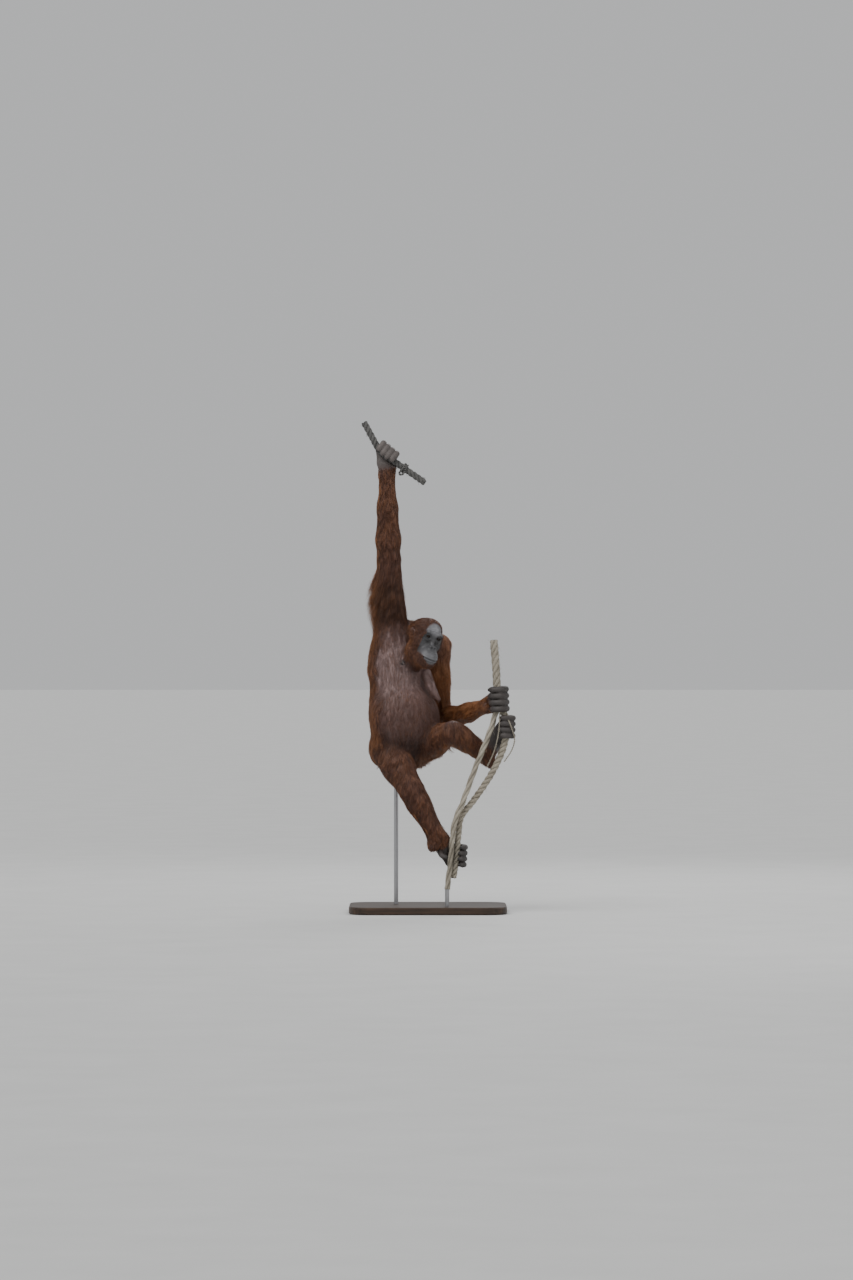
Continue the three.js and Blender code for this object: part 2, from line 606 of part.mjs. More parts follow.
const breast = tube(BREAST, (t) => 19 * Math.sqrt(1 - 0.86 * t ** 2), { sides: 8, steps: 7 });
node("breast_left", breast.subtract(trunkRoom), LOOK.belly);

// Arms and legs
const between = (solid, start, end) => before(start ? beyond(solid, ...start) : solid, ...end);
const shoulderR = sleeve(blend(40, trunk, lengthField(LIMB.armR[0])), CUT.shoulderR[0], JOINT.elbowR, {
  before: 4,
  after: 34,
  sides: 12,
});
node("upper_arm_right", between(shoulderR, CUT.shoulderR, CUT.elbowR), LOOK.coat);
node("forearm_right", between(lengthSolid(LIMB.armR[1]), CUT.elbowR, CUT.wristR), LOOK.coat);
node("upper_arm_left", between(lengthSolid(LIMB.armL[0]), null, CUT.elbowL), LOOK.coat);
node("forearm_left", between(lengthSolid(LIMB.armL[1]), CUT.elbowL, CUT.wristL), LOOK.coat);
node("thigh_right", between(lengthSolid(LIMB.legR[0]), null, CUT.kneeR), LOOK.coat);
node("shin_right", between(lengthSolid(LIMB.legR[1]), CUT.kneeR, CUT.ankleR), LOOK.coat);
node("thigh_left", between(lengthSolid(LIMB.legL[0]).subtract(room(LIMB.legR)), null, CUT.kneeL), LOOK.coat);
node("shin_left", between(lengthSolid(LIMB.legL[1]), CUT.kneeL, CUT.ankleL), LOOK.coat);

const extremities = {
  hand_right: {
    digits: HAND_R, root: JOINT.wristR, normal: CUT.wristR[1], rootRadius: 28, middleRadius: 24, web: [],
    thumb: { points: [vec(-156, -70, 1852), vec(-143, -84, 1866), vec(-137, -100, 1870)], radius: 10 },
  },
  hand_left: {
    digits: HAND_L, root: JOINT.wristL, normal: CUT.wristL[1], rootRadius: 26, middleRadius: 24, web: [],
    thumb: { points: [vec(262, -108, 878), vec(252, -136, 892), vec(262, -166, 900)], radius: 11 },
  },
  foot_left: {
    digits: FOOT_L, root: JOINT.ankleL, normal: CUT.ankleL[1], rootRadius: 28, middleRadius: 26,
    web: [[JOINT.ankleL, vec(258, -66, 634), 26, 21]],
    thumb: { points: [vec(272, -84, 690), vec(286, -116, 692), vec(286, -146, 704)], radius: 10.5 },
  },
  foot_right: {
    digits: FOOT_R, root: JOINT.ankleR, normal: CUT.ankleR[1], rootRadius: 29, middleRadius: 26,
    web: [[JOINT.ankleR, vec(22, -178, 286), 27, 21]],
    thumb: { points: [vec(48, -160, 262), vec(58, -184, 244), vec(78, -196, 236)], radius: 10.5 },
  },
};
for (const [name, dimensions] of Object.entries(extremities)) node(name, extremity(dimensions), LOOK.skin);

// Ropes
node("perch_rope_high", rope(ROPE_HIGH), LOOK.darkRope);
const CORD_RADIUS = 4.6;
const lashed = new THREE.TorusGeometry(19.4, CORD_RADIUS, 5, 12).rotateY(Math.PI / 2).rotateY(rad(35));
const tail = [
  vec(-98, -123, 1866), vec(-112, -126, 1852), vec(-120, -124, 1836), vec(-110, -122, 1832),
  vec(-94, -122, 1846),
];
const loop = tube(tail, () => CORD_RADIUS, { sides: 5, steps: 8 });
const lashing = toSolid(lashed.translate(-99, -101, 1860)).add(loop);
node("perch_lashing", lashing, LOOK.darkRope);
node("perch_rope_upper", rope(ROPE_UPPER), LOOK.rope);
node("perch_rope_straight", rope(ROPE_STRAIGHT), LOOK.rope);
node("perch_rope_twisted", rope(ROPE_TWISTED, 0, 0.85), LOOK.rope);

// Stand
const outline = new THREE.Shape();
const [halfWidth, halfDepth] = [BASE.width / 2 - BASE.edge, BASE.depth / 2 - BASE.edge];
const corner = BASE.corner;
outline.absarc(halfWidth - corner, halfDepth - corner, corner, 0, Math.PI / 2);
outline.absarc(corner - halfWidth, halfDepth - corner, corner, Math.PI / 2, Math.PI);
outline.absarc(corner - halfWidth, corner - halfDepth, corner, Math.PI, 1.5 * Math.PI);
outline.absarc(halfWidth - corner, corner - halfDepth, corner, 1.5 * Math.PI, 2 * Math.PI);
const plate = new THREE.ExtrudeGeometry(outline, {
  depth: BASE.height - 2 * BASE.edge,
  bevelThickness: BASE.edge,
  bevelSize: BASE.edge,
  bevelSegments: 1,
  curveSegments: 4,
});
node("stand_base", toSolid(plate.translate(0, 0, BASE.edge)), LOOK.base);
const rod = (x, y, low, high) =>
  toSolid(
    new THREE.CylinderGeometry(ROD_RADIUS, ROD_RADIUS, high - low, 16)
      .rotateX(Math.PI / 2)
      .translate(x, y, (low + high) / 2),
  );
node("stand_rod_body", rod(-134, 58, BASE.height + GAP, 660).subtract(trunkRoom), LOOK.rod);
node("stand_rod_rope", rod(80, -150, BASE.height + GAP, 102), LOOK.rod);

// Locks of the long coat
let seed = 7;
function random() {
  seed = (seed * 1664525 + 1013904223) % 4294967296;
  return seed / 4294967296;
}
const vary = (spread) => 1 + spread * (2 * random() - 1);

function gradient(field, p) {
  const e = 0.5;
  return vec(
    field(p.x + e, p.y, p.z) - field(p.x - e, p.y, p.z),
    field(p.x, p.y + e, p.z) - field(p.x, p.y - e, p.z),
    field(p.x, p.y, p.z + e) - field(p.x, p.y, p.z - e),
  ).normalize();
}

// A flat, keeled lock that starts sunk under a field's surface, lies along the flow and ends in a point that
// stands off by its lift. It has one ring of three points for each of widths.
const LOCK = { sunk: -9, bodyHeight: 3, rooted: 0.3, thickness: 8, widths: [0.36, 0.5, 0.34], ringEvery: 4 };
function lock(field, root, flow, { length, width, lift }) {
  const p = root.clone();
  const rings = [];
  const pieces = LOCK.widths.length * LOCK.ringEvery;
  for (let i = 0; i <= pieces; i++) {
    const t = i / pieces;
    const rise = Math.min(t / LOCK.rooted, 1);
    const free = Math.max(0, (t - LOCK.rooted) / (1 - LOCK.rooted));
    const height = LOCK.sunk + (LOCK.bodyHeight - LOCK.sunk) * rise + lift * free ** 1.6;
    const out = gradient(field, p);
    p.addScaledVector(out, height - field(p.x, p.y, p.z));
    const ahead = flow.clone().addScaledVector(out, -flow.dot(out) * 0.9).normalize();
    if (i % LOCK.ringEvery === 0 && i < pieces) {
      const side = ahead.clone().cross(out).normalize();
      const half = LOCK.widths[i / LOCK.ringEvery] * width;
      rings.push([
        p.clone().addScaledVector(side, half),
        p.clone().addScaledVector(out, LOCK.thickness),
        p.clone().addScaledVector(side, -half),
      ]);
    }
    if (i < pieces) p.addScaledVector(ahead, length / pieces);
  }
  return loft(rings, p);
}

// Roots round a line from a to b: rows along it and columns within spread degrees either side of out.
function rootsRound(field, a, b, { out, spread, rows, columns }) {
  const axis = along(a, b);
  const e1 = out.clone().addScaledVector(axis, -out.dot(axis)).normalize();
  const e2 = axis.clone().cross(e1);
  const roots = [];
  for (let row = 0; row < rows; row++)
    for (let column = 0; column < columns; column++) {
      const angle = rad(spread * ((2 * (column + (row % 2 ? 0.75 : 0.25))) / columns - 1));
      const ray = e1.clone().multiplyScalar(Math.cos(angle)).addScaledVector(e2, Math.sin(angle));
      const p = mix(a, b, (row + 0.5 + 0.2 * (random() - 0.5)) / rows);
      for (let i = 0; i < 40; i++) p.addScaledVector(ray, -0.9 * field(p.x, p.y, p.z));
      roots.push(p);
    }
  return roots;
}

const torsoBack = vec(-Math.sin(rad(TORSO_YAW)), Math.cos(rad(TORSO_YAW)), 0);
const COAT = {
  neck: {
    field: trunk, a: mix(NECK_BASE, SKULL_BASE, 0.45), b: SKULL_BASE,
    out: vec(-0.2, 0.6, 1), spread: 75, rows: 1, columns: 4,
    flow: vec(-0.2, 0.7, -0.7), length: 85, width: 70, lift: 9,
  },
  chest: {
    field: trunk, a: inTorso(0, 10, 222), b: inTorso(0, 10, 430),
    out: torsoBack, spread: 104, rows: 3, columns: 5,
    flow: DOWN, length: 120, width: 84, lift: 10,
  },
  belly_and_hips: {
    field: trunk, a: inTorso(0, 10, -20), b: inTorso(0, 10, 222),
    out: torsoBack, spread: 108, rows: 3, columns: 6,
    flow: DOWN, length: 120, width: 84, lift: 10,
  },
  upper_arm_right: {
    field: blend(40, trunk, lengthField(LIMB.armR[0])), a: CUT.shoulderR[0], b: JOINT.elbowR,
    out: vec(-0.8, 0.6, 0), spread: 78, rows: 5, columns: 3,
    flow: vec(-0.3, 0.12, -1), length: 140, width: 64,
    lift: (p) => 16 + 48 * THREE.MathUtils.smoothstep(p.z, 1240, 1420),
  },
  forearm_right: {
    field: lengthField(LIMB.armR[1]), a: JOINT.elbowR, b: JOINT.wristR,
    out: vec(-0.7, 0.7, 0), spread: 100, rows: 4, columns: 3,
    flow: vec(-0.06, 0.03, -1), length: 120, width: 60, lift: 9,
  },
  upper_arm_left: {
    field: lengthField(LIMB.armL[0]), a: mix(JOINT.shoulderL, JOINT.elbowL, 0.1), b: JOINT.elbowL,
    out: vec(0.7, 0.7, 0), spread: 95, rows: 3, columns: 3,
    flow: vec(0.05, 0.1, -1), length: 120, width: 66, lift: 14,
  },
  forearm_left: {
    field: lengthField(LIMB.armL[1]), a: JOINT.elbowL, b: JOINT.wristL,
    out: vec(0.2, 0.1, 1), spread: 125, rows: 4, columns: 3,
    flow: vec(-0.45, 0.5, -0.5), length: 95, width: 56, lift: 10,
  },
  thigh_right: {
    field: lengthField(LIMB.legR[0]), a: mix(JOINT.hipR, JOINT.kneeR, 0.1), b: JOINT.kneeR,
    out: vec(-0.8, 0.3, -0.4), spread: 90, rows: 3, columns: 4,
    flow: vec(-0.1, 0.1, -1), length: 100, width: 66, lift: 12,
  },
  shin_right: {
    field: lengthField(LIMB.legR[1]), a: JOINT.kneeR, b: JOINT.ankleR,
    out: vec(-0.8, 0.1, -0.5), spread: 95, rows: 3, columns: 3,
    flow: vec(-0.1, 0.05, -1), length: 85, width: 54, lift: 12,
  },
  thigh_left: {
    field: lengthField(LIMB.legL[0]), a: mix(JOINT.hipL, JOINT.kneeL, 0.15), b: JOINT.kneeL,
    out: vec(0.1, 0.3, -1), spread: 85, rows: 3, columns: 3,
    flow: vec(0.1, 0.1, -1), length: 85, width: 60, lift: 22,
  },
  shin_left: {
    field: lengthField(LIMB.legL[1]), a: JOINT.kneeL, b: JOINT.ankleL,
    out: vec(-0.1, 0.5, -1), spread: 80, rows: 3, columns: 2,
    flow: vec(0.1, 0.1, -1), length: 75, width: 50, lift: 16,
  },
};

// The head's roots lie on rays from inside the skull: azimuth from straight back towards either side, elevation up.
const SKULL = [0, 66, -14];
const HEAD_RAYS = [
  ...[-120, -60, 0, 60, 120].map((azimuth) => [azimuth, 64]),
  ...[-112, -70, -28, 14, 56, 98].map((azimuth) => [azimuth, 34]),
  ...[-98, -56, -14, 28, 70, 104].map((azimuth) => [azimuth, 4]),
  ...[-94, -58, 58, 94].map((azimuth) => [azimuth, -24]),
  ...[-128, -88, 88, 128].map((azimuth) => [azimuth, -46]),
];
function headRoots() {
  return HEAD_RAYS.map(([azimuth, elevation]) => {
    const [a, e] = [rad(azimuth * vary(0.03)), rad(elevation)];
    const ray = [Math.sin(a) * Math.cos(e), Math.cos(a) * Math.cos(e), Math.sin(e)];
    const p = inHead(...SKULL);
    const direction = inHead(...ray).sub(inHead(0, 0, 0));
    for (let i = 0; i < 60; i++) p.addScaledVector(direction, -0.8 * faceField(p.x, p.y, p.z));
    return p;
  });
}
const headFlow = (p) => {
  const away = p.clone().sub(inHead(0, 20, 40)).normalize();
  return away.addScaledVector(DOWN, 0.9).normalize();
};
// The hair stands off further on her left side.
COAT.head = {
  field: faceField, roots: headRoots, flow: headFlow, length: 66, width: 50, lift: (p) => (p.x > 20 ? 24 : 9),
};

// Whether each edge has two faces, with points that are almost one counted as one.
function sound(solid) {
  const { vertProperties, triVerts, numProp } = solid.getMesh();
  const names = new Map();
  const merged = Array.from(triVerts, (vertex) => {
    const point = vertProperties.slice(vertex * numProp, vertex * numProp + 3);
    const key = point.map((x) => Math.round(x * 1e4)).join();
    if (!names.has(key)) names.set(key, names.size);
    return names.get(key);
  });
  const faces = new Map();
  for (let i = 0; i < merged.length; i += 3) {
    const corners = merged.slice(i, i + 3);
    if (new Set(corners).size < 3) continue;
    for (const [a, b] of [[0, 1], [1, 2], [2, 0]]) {
      const edge = [corners[a], corners[b]].sort((m, n) => m - n).join();
      faces.set(edge, (faces.get(edge) ?? 0) + 1);
    }
  }
  return [...faces.values()].every((count) => count === 2);
}

// Some dimensions depend on where the root is.
const at = (dimension, root) => (typeof dimension === "function" ? dimension(root) : dimension);

// Each lock that would touch another piece is tried shorter, then left out.
function coat(name, dimensions) {
  const piece = nodes.get(name);
  const others = [...nodes].filter(([other]) => other !== name).map(([, { solid }]) => solid);
  const { field, a, b, flow } = dimensions;
  const roots = dimensions.roots ? dimensions.roots() : rootsRound(field, a, b, dimensions);
  for (const root of roots) {
    const length = dimensions.length * vary(0.12);
    const width = dimensions.width * vary(0.1);
    const lift = at(dimensions.lift, root) * vary(0.35);
    for (const share of [1, 0.75, 0.55]) {
      const one = lock(field, root, at(flow, root), { length: length * share, width, lift });
      if (!others.every((other) => other.intersect(one).isEmpty())) continue;
      const joined = piece.solid.add(one);
      if (!sound(joined)) continue;
      piece.solid = joined;
      break;
    }
  }
  piece.solid = largest(piece.solid);
}
for (const [name, dimensions] of Object.entries(COAT)) coat(name, dimensions);

for (const [name, { solid, look }] of nodes) {
  const mesh = new THREE.Mesh(toGeometry(solid), new THREE.MeshStandardMaterial(look));
  mesh.name = name;
  group.add(mesh);
}

export default group;
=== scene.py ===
from collections import namedtuple
from itertools import product

import bpy
import numpy as np
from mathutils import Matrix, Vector
from mathutils.kdtree import KDTree


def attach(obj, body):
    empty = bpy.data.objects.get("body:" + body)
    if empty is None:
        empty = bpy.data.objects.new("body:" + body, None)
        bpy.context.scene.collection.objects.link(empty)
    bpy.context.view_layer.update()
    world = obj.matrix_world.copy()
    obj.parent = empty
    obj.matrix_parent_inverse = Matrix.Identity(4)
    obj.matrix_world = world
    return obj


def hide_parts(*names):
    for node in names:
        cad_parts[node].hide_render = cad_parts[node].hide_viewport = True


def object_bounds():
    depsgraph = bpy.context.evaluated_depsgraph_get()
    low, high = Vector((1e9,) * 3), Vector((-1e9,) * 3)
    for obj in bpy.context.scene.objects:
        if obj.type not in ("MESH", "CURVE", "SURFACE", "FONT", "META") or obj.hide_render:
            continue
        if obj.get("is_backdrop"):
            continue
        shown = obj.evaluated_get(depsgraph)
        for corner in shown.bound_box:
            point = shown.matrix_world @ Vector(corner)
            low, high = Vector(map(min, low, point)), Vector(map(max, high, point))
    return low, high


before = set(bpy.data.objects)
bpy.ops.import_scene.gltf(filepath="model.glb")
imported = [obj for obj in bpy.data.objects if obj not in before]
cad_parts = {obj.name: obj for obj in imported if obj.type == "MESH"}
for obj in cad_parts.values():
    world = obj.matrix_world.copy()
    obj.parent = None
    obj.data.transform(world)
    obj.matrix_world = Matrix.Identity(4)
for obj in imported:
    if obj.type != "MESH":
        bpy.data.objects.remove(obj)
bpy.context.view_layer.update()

# A female orangutan that hangs by the right hand. Lengths are in millimetres until a mesh is made.
MM = 0.001
rng = np.random.default_rng(11)


def vec(*xyz):
    return np.array(xyz, float)


def mix(a, b, t):
    return a + (b - a) * t


def unit(v):
    return v / np.maximum(np.linalg.norm(v, axis=-1, keepdims=True), 1e-9)


def smoothstep(x, low, high):
    t = np.clip((x - low) / (high - low), 0, 1)
    return t * t * (3 - 2 * t)


# Places and sizes that the solids have too
JOINT = {
    "shoulderR": vec(-151, -40, 1176),
    "elbowR": vec(-164, -66, 1480),
    "wristR": vec(-172, -72, 1829),
    "shoulderL": vec(42, 80, 1118),
    "elbowL": vec(52, 135, 795),
    "wristL": vec(248, -108, 868),
    "hipR": vec(-168, -30, 690),
    "kneeR": vec(-71, -165, 521),
    "ankleR": vec(36, -160, 330),
    "hipL": vec(-46, 40, 690),
    "kneeL": vec(103, -130, 762),
    "ankleL": vec(242, -58, 664),
}
NECK_BASE = vec(-66, 2, 1152)
SKULL_BASE = vec(-8, -82, 1150)


def frame_at(origin, yaw, pitch=0.0, roll=0.0):
    y, p, r = np.radians([yaw, pitch, roll])
    about_z = np.array([[np.cos(y), -np.sin(y), 0], [np.sin(y), np.cos(y), 0], [0, 0, 1]])
    about_x = np.array([[1, 0, 0], [0, np.cos(p), -np.sin(p)], [0, np.sin(p), np.cos(p)]])
    about_y = np.array([[np.cos(r), 0, np.sin(r)], [0, 1, 0], [-np.sin(r), 0, np.cos(r)]])
    return about_z @ about_x @ about_y, origin


TORSO_YAW = 30
TORSO = frame_at(vec(-115, 10, 700), TORSO_YAW)
HEAD = frame_at(vec(25, -165, 1151), 30, 10, 15)


def placed(turned, *xyz):
    axes, origin = turned
    return axes @ vec(*xyz) + origin


def local(turned, points):
    axes, origin = turned
    return (points - origin) @ axes


# Fields: the distance to a surface, negative inside. REACH is how far fields matter to each other.
FAR = 1e4
REACH = 62.0


class Field:
    def __init__(self, value, low, high):
        self.value, self.low, self.high = value, low, high

    def __call__(self, points):
        return self.value(points)


def smooth_min(a, b, k):
    h = np.maximum(k - np.abs(a - b), 0) / k
    return np.minimum(a, b) - h * h * k / 4


def taper(a, b, ra, rb=None):
    rb = ra if rb is None else rb
    d = b - a
    length2 = d @ d

    def value(points):
        q = points - a
        t = np.clip(q @ d / length2, 0, 1)
        q = q - t[:, None] * d
        return np.sqrt(np.einsum("ij,ij->i", q, q)) - ra - (rb - ra) * t

    r = max(ra, rb)
    return Field(value, np.minimum(a, b) - r, np.maximum(a, b) + r)


def egg(turned, c, r):
    c, r = vec(*c), vec(*r)
    half = np.abs(turned[0]) @ r
    centre = placed(turned, *c)

    def value(points):
        q = (local(turned, points) - c) / r
        near = np.sqrt(np.einsum("ij,ij->i", q, q))
        q = q / r
        slope = np.sqrt(np.einsum("ij,ij->i", q, q))
        return near * (near - 1) / np.maximum(slope, 1e-9)

    return Field(value, centre - half, centre + half)


def blend(k, *fields):
    def value(points):
        low, high = points.min(0) - REACH, points.max(0) + REACH
        d = np.full(len(points), FAR)
        for f in fields:
            if (f.low < high).all() and (f.high > low).all():
                d = smooth_min(d, f(points), k)
        return d

    return Field(value, np.min([f.low for f in fields], 0), np.max([f.high for f in fields], 0))


def carve(k, field, *cuts):
    def value(points):
        low, high = points.min(0) - REACH, points.max(0) + REACH
        d = field(points)
        for f in cuts:
            if (f.low < high).all() and (f.high > low).all():
                d = -smooth_min(-d, f(points), k)
        return d

    return Field(value, field.low, field.high)


def grown(field, by):
    return Field(lambda points: field(points) - by, field.low - max(by, 0), field.high + max(by, 0))


def chain(k, *knots):
    return blend(k, *[taper(p, q, r, s) for (p, r), (q, s) in zip(knots, knots[1:])])


CUBE = 70.0


def groups(points):
    """Points that lie in one cube, cube by cube."""
    key = np.floor(points / CUBE).astype(np.int64) @ np.array([1, 1000, 1000000])
    order = np.argsort(key, kind="stable")
    cuts = np.flatnonzero(np.diff(key[order])) + 1
    return np.split(order, cuts)


def evaluate(field, points):
    out = np.empty(len(points))
    for group in groups(points):
        out[group] = field(points[group])
    return out


def value_and_normal(field, points, e=0.6):
    steps = np.eye(3) * e
    stacked = np.concatenate([points, points + steps[0], points + steps[1], points + steps[2]])
    out = np.empty((4, len(points)))
    for group in groups(points):
        n = len(points)
        picked = np.concatenate([group, group + n, group + 2 * n, group + 3 * n])
        out[:, group] = field(stacked[picked]).reshape(4, -1)
    return out[0], unit((out[1:] - out[0]).T)


# The body's fields, as in the solids, with the skin set in by the coat's depth
TRUNK_COAT, LIMB_COAT = 3.0, 5.0
LIMB = {
    "armR": [
        ("shoulderR", "elbowR", [(0, 50), (0.45, 44), (1, 42)]),
        ("elbowR", "wristR", [(0, 42), (0.24, 49), (0.62, 38), (1, 29)]),
    ],
    "armL": [
        ("shoulderL", "elbowL", [(0, 52), (0.45, 42), (1, 41)]),
        ("elbowL", "wristL", [(0, 41), (0.26, 44), (0.62, 35), (1, 27)]),
    ],
    "legR": [
        ("hipR", "kneeR", [(0, 76), (0.45, 66), (1, 49)]),
        ("kneeR", "ankleR", [(0, 49), (0.3, 47), (1, 30)]),
    ],
    "legL": [
        ("hipL", "kneeL", [(0, 74), (0.5, 60), (1, 43)]),
        ("kneeL", "ankleL", [(0, 43), (0.3, 41), (1, 29)]),
    ],
}


def length_field(limb, index, inset=0.0):
    start, end, radii = LIMB[limb][index]
    a, b = JOINT[start], JOINT[end]
    return chain(24, *[(mix(a, b, t), r - inset * min(1, (1.25 - t * index))) for t, r in radii])


neck = chain(30, (NECK_BASE, 66), (mix(NECK_BASE, SKULL_BASE, 0.6), 60), (SKULL_BASE, 55))
throat = taper(placed(TORSO, -20, -20, 380), placed(HEAD, 0, 50, -100), 50, 38)
torso = blend(
    44,
    egg(TORSO, (0, 6, 2), (118, 92, 88)),  # pelvis
    egg(TORSO, (0, -40, 112), (152, 124, 148)),  # belly
    egg(TORSO, (0, 18, 200), (124, 92, 190)),  # loins and back
    egg(TORSO, (-8, -4, 345), (118, 102, 150)),  # ribs
    egg(TORSO, (0, 40, 410), (98, 66, 74)),  # shoulder blades
    taper(JOINT["shoulderR"], JOINT["shoulderL"], 46, 50),
    taper(placed(TORSO, -92, 16, 320), mix(JOINT["shoulderR"], JOINT["elbowR"], 0.35), 40, 36),  # armpit
    taper(placed(TORSO, -50, -58, 372), mix(JOINT["shoulderR"], JOINT["elbowR"], 0.25), 40, 34),
    egg(TORSO, (-48, 44, -30), (60, 60, 56)),  # buttocks
    egg(TORSO, (56, 44, -32), (62, 60, 56)),
)
upper_arm = taper(JOINT["shoulderR"], JOINT["elbowR"], 50, 42)
trunk = blend(40, torso, upper_arm, blend(44, neck, throat))

# Head
def pair(x, y, z, radii):
    """An egg on either side of the head."""
    return [egg(HEAD, (side * x, y, z), radii) for side in (-1, 1)]


head_core = blend(
    20,
    egg(HEAD, (0, 80, 6), (61, 75, 61)),  # cranium
    egg(HEAD, (0, 46, 30), (47, 43, 39)),  # forehead
    egg(HEAD, (0, 43, -22), (54, 34, 46)),  # middle of the face
    *pair(42, 36, -30, (18, 24, 26)),  # cheeks
    egg(HEAD, (0, 8, -70), (37, 40, 31)),  # muzzle
    egg(HEAD, (0, -8, -80), (34, 33, 19)),  # upper lip
    egg(HEAD, (0, 0, -106), (29, 36, 17)),  # lower lip and chin
    egg(HEAD, (0, 34, -96), (45, 54, 30)),  # jaw
    *pair(40, 68, -66, (22, 34, 38)),  # corners of the jaw
)
ORBIT = [
    (11, 3, 4), (17, 2, 12), (28, 4, 17), (39, 11, 13), (44, 19, 2), (39, 16, -11), (27, 8, -16), (15, 4, -9),
]


def orbit_rim(side):
    """The rim round an eye, thicker at the brow."""
    ring = [placed(HEAD, side * x, y, z) for x, y, z in [*ORBIT, ORBIT[0]]]
    return chain(5, *[(p, 7.5 if 1 < i < 5 else 5.5) for i, p in enumerate(ring)])


face_base = carve(
    6,
    blend(
        8,
        head_core,
        orbit_rim(-1),
        orbit_rim(1),
        taper(placed(HEAD, 0, 16, 6), placed(HEAD, 0, -4, -36), 8, 9),  # bridge of the nose
        *pair(9, -15, -41, (9, 8, 7)),  # sides of the nose
    ),
    *pair(27, -3, -1, (13, 13, 10.5)),  # eye sockets
)


def meets(field, outside, inside):
    """The point of a field's surface that is met first on the way from outside to inside."""
    p, step = outside.copy(), unit(inside - outside)
    for _ in range(60):
        p = p + 0.7 * field(p[None])[0] * step
    return p


def curve_points(points, count):
    """Evenly spaced points on the centripetal Catmull-Rom curve through some points."""
    p = np.array(points, float)
    p = np.vstack([2 * p[0] - p[1], p, 2 * p[-1] - p[-2]])
    fine = []
    for i in range(1, len(p) - 2):
        knots = [max(np.linalg.norm(b - a) ** 0.5, 1e-3) for a, b in zip(p[i - 1 :], p[i : i + 3])]
        t = np.cumsum([0, *knots])
        x = np.linspace(t[1], t[2], 40, endpoint=False)[:, None]

        def between(a, b, m, n):
            return (t[n] - x) / (t[n] - t[m]) * a + (x - t[m]) / (t[n] - t[m]) * b

        first = [between(p[i - 1 + n], p[i + n], n, n + 1) for n in range(3)]
        second = [between(first[n], first[n + 1], n, n + 2) for n in range(2)]
        fine.append(between(*second, 1, 2))
    fine = np.vstack([*fine, p[-2][None]])
    s = np.concatenate([[0], np.cumsum(np.linalg.norm(np.diff(fine, axis=0), axis=1))])
    at = np.linspace(0, s[-1], count)
    return np.stack([np.interp(at, s, fine[:, axis]) for axis in range(3)], 1)


def across_face(angles, height, bow=0.0, depth=0.0):
    """Points over the front of the muzzle at a height, with their ends raised by bow."""
    line = []
    for angle in angles:
        s, c = np.sin(np.radians(angle)), np.cos(np.radians(angle))
        z = height + bow * (angle / angles[-1]) ** 2
        p = meets(face_base, placed(HEAD, 90 * s, 6 - 90 * c, z), placed(HEAD, 0, 6, z))
        line.append(p + depth * (HEAD[0] @ vec(s, -c, 0)))
    return line


def thin(points, radius, ends=0.4):
    """A fine chain whose ends taper."""
    last = len(points) - 1
    radii = [radius * (ends + (1 - ends) * np.sin(np.pi * i / last)) for i in range(last + 1)]
    return chain(2, *zip(points, radii))


MOUTH = range(-64, 65, 8)
EYE_RADIUS, EYE_AT = 12.0, (26, 14, -1)
LID, LID_ROOM, LID_OPENING = 3.2, 0.3, (10.4, 16, 4.5)


def lip(radius, height, depth):
    line = across_face(MOUTH, height, 5, depth)
    thickness = [np.sin(np.pi * (0.06 + 0.88 * i / 16)) ** 0.5 for i in range(len(line))]
    return chain(3, *[(p, radius * t) for p, t in zip(line, thickness)])


def eye_folds(side):
    """Two creases under an eye."""
    folds = []
    for grow, sag in ((1.2, 2), (1.42, 5)):
        ring = [placed(HEAD, side * x * grow, y, z * grow - sag) for x, y, z in ORBIT[5:]]
        ring = curve_points(ring, 7)
        on = [meets(face_base, p - HEAD[0] @ vec(0, 40, 0), p + HEAD[0] @ vec(0, 30, 0)) for p in ring]
        folds.append(thin(on, 1.3))
    return folds


def forehead_line(z):
    line = []
    for x in range(-24, 25, 6):
        ends = [placed(HEAD, x, y, z - x * x / 160) for y in (-60, 60)]
        line.append(meets(face_base, *ends))
    return thin(line, 0.9)


face = blend(
    3,
    face_base,
    lip(4.2, -86.5, -0.5),
    lip(5.0, -96, -1.5),
    *pair(*EYE_AT, (EYE_RADIUS + LID,) * 3),  # lids
)
face = carve(
    1.6,
    face,
    thin(across_face(MOUTH, -91, 5, 1.2), 2.3, 0.7),  # line of the mouth
    *pair(7, -24, -43, (4, 8, 4.6)),  # nostrils
    *pair(EYE_AT[0], EYE_AT[1] - 16, EYE_AT[2], LID_OPENING),
    *pair(*EYE_AT, (EYE_RADIUS + LID_ROOM,) * 3),
)
face = carve(
    3,
    face,
    *eye_folds(-1),
    *eye_folds(1),
    *[forehead_line(z) for z in (24, 32, 41)],
    thin(across_face(range(-40, 41, 8), -58, 3, 0.2), 1.2),  # folds over the upper lip
    thin(across_face(range(-34, 35, 8), -66, 2, 0.2), 1.0),
    thin(across_face(range(-30, 31, 6), -105, 2, 0.2), 1.5),  # fold over the chin
)


def ear(side):
    return carve(
        3,
        blend(4, egg(HEAD, (side * 64, 66, -8), (9, 15, 19)), egg(HEAD, (side * 67, 76, 2), (6, 9, 13))),
        egg(HEAD, (side * 75, 61, -7), (9, 9, 13)),
        thin([placed(HEAD, side * 69, 78 - 4 * abs(i - 2), -14 + 8 * i) for i in range(5)], 1.4),
    )


head = blend(3, face, ear(-1), ear(1))

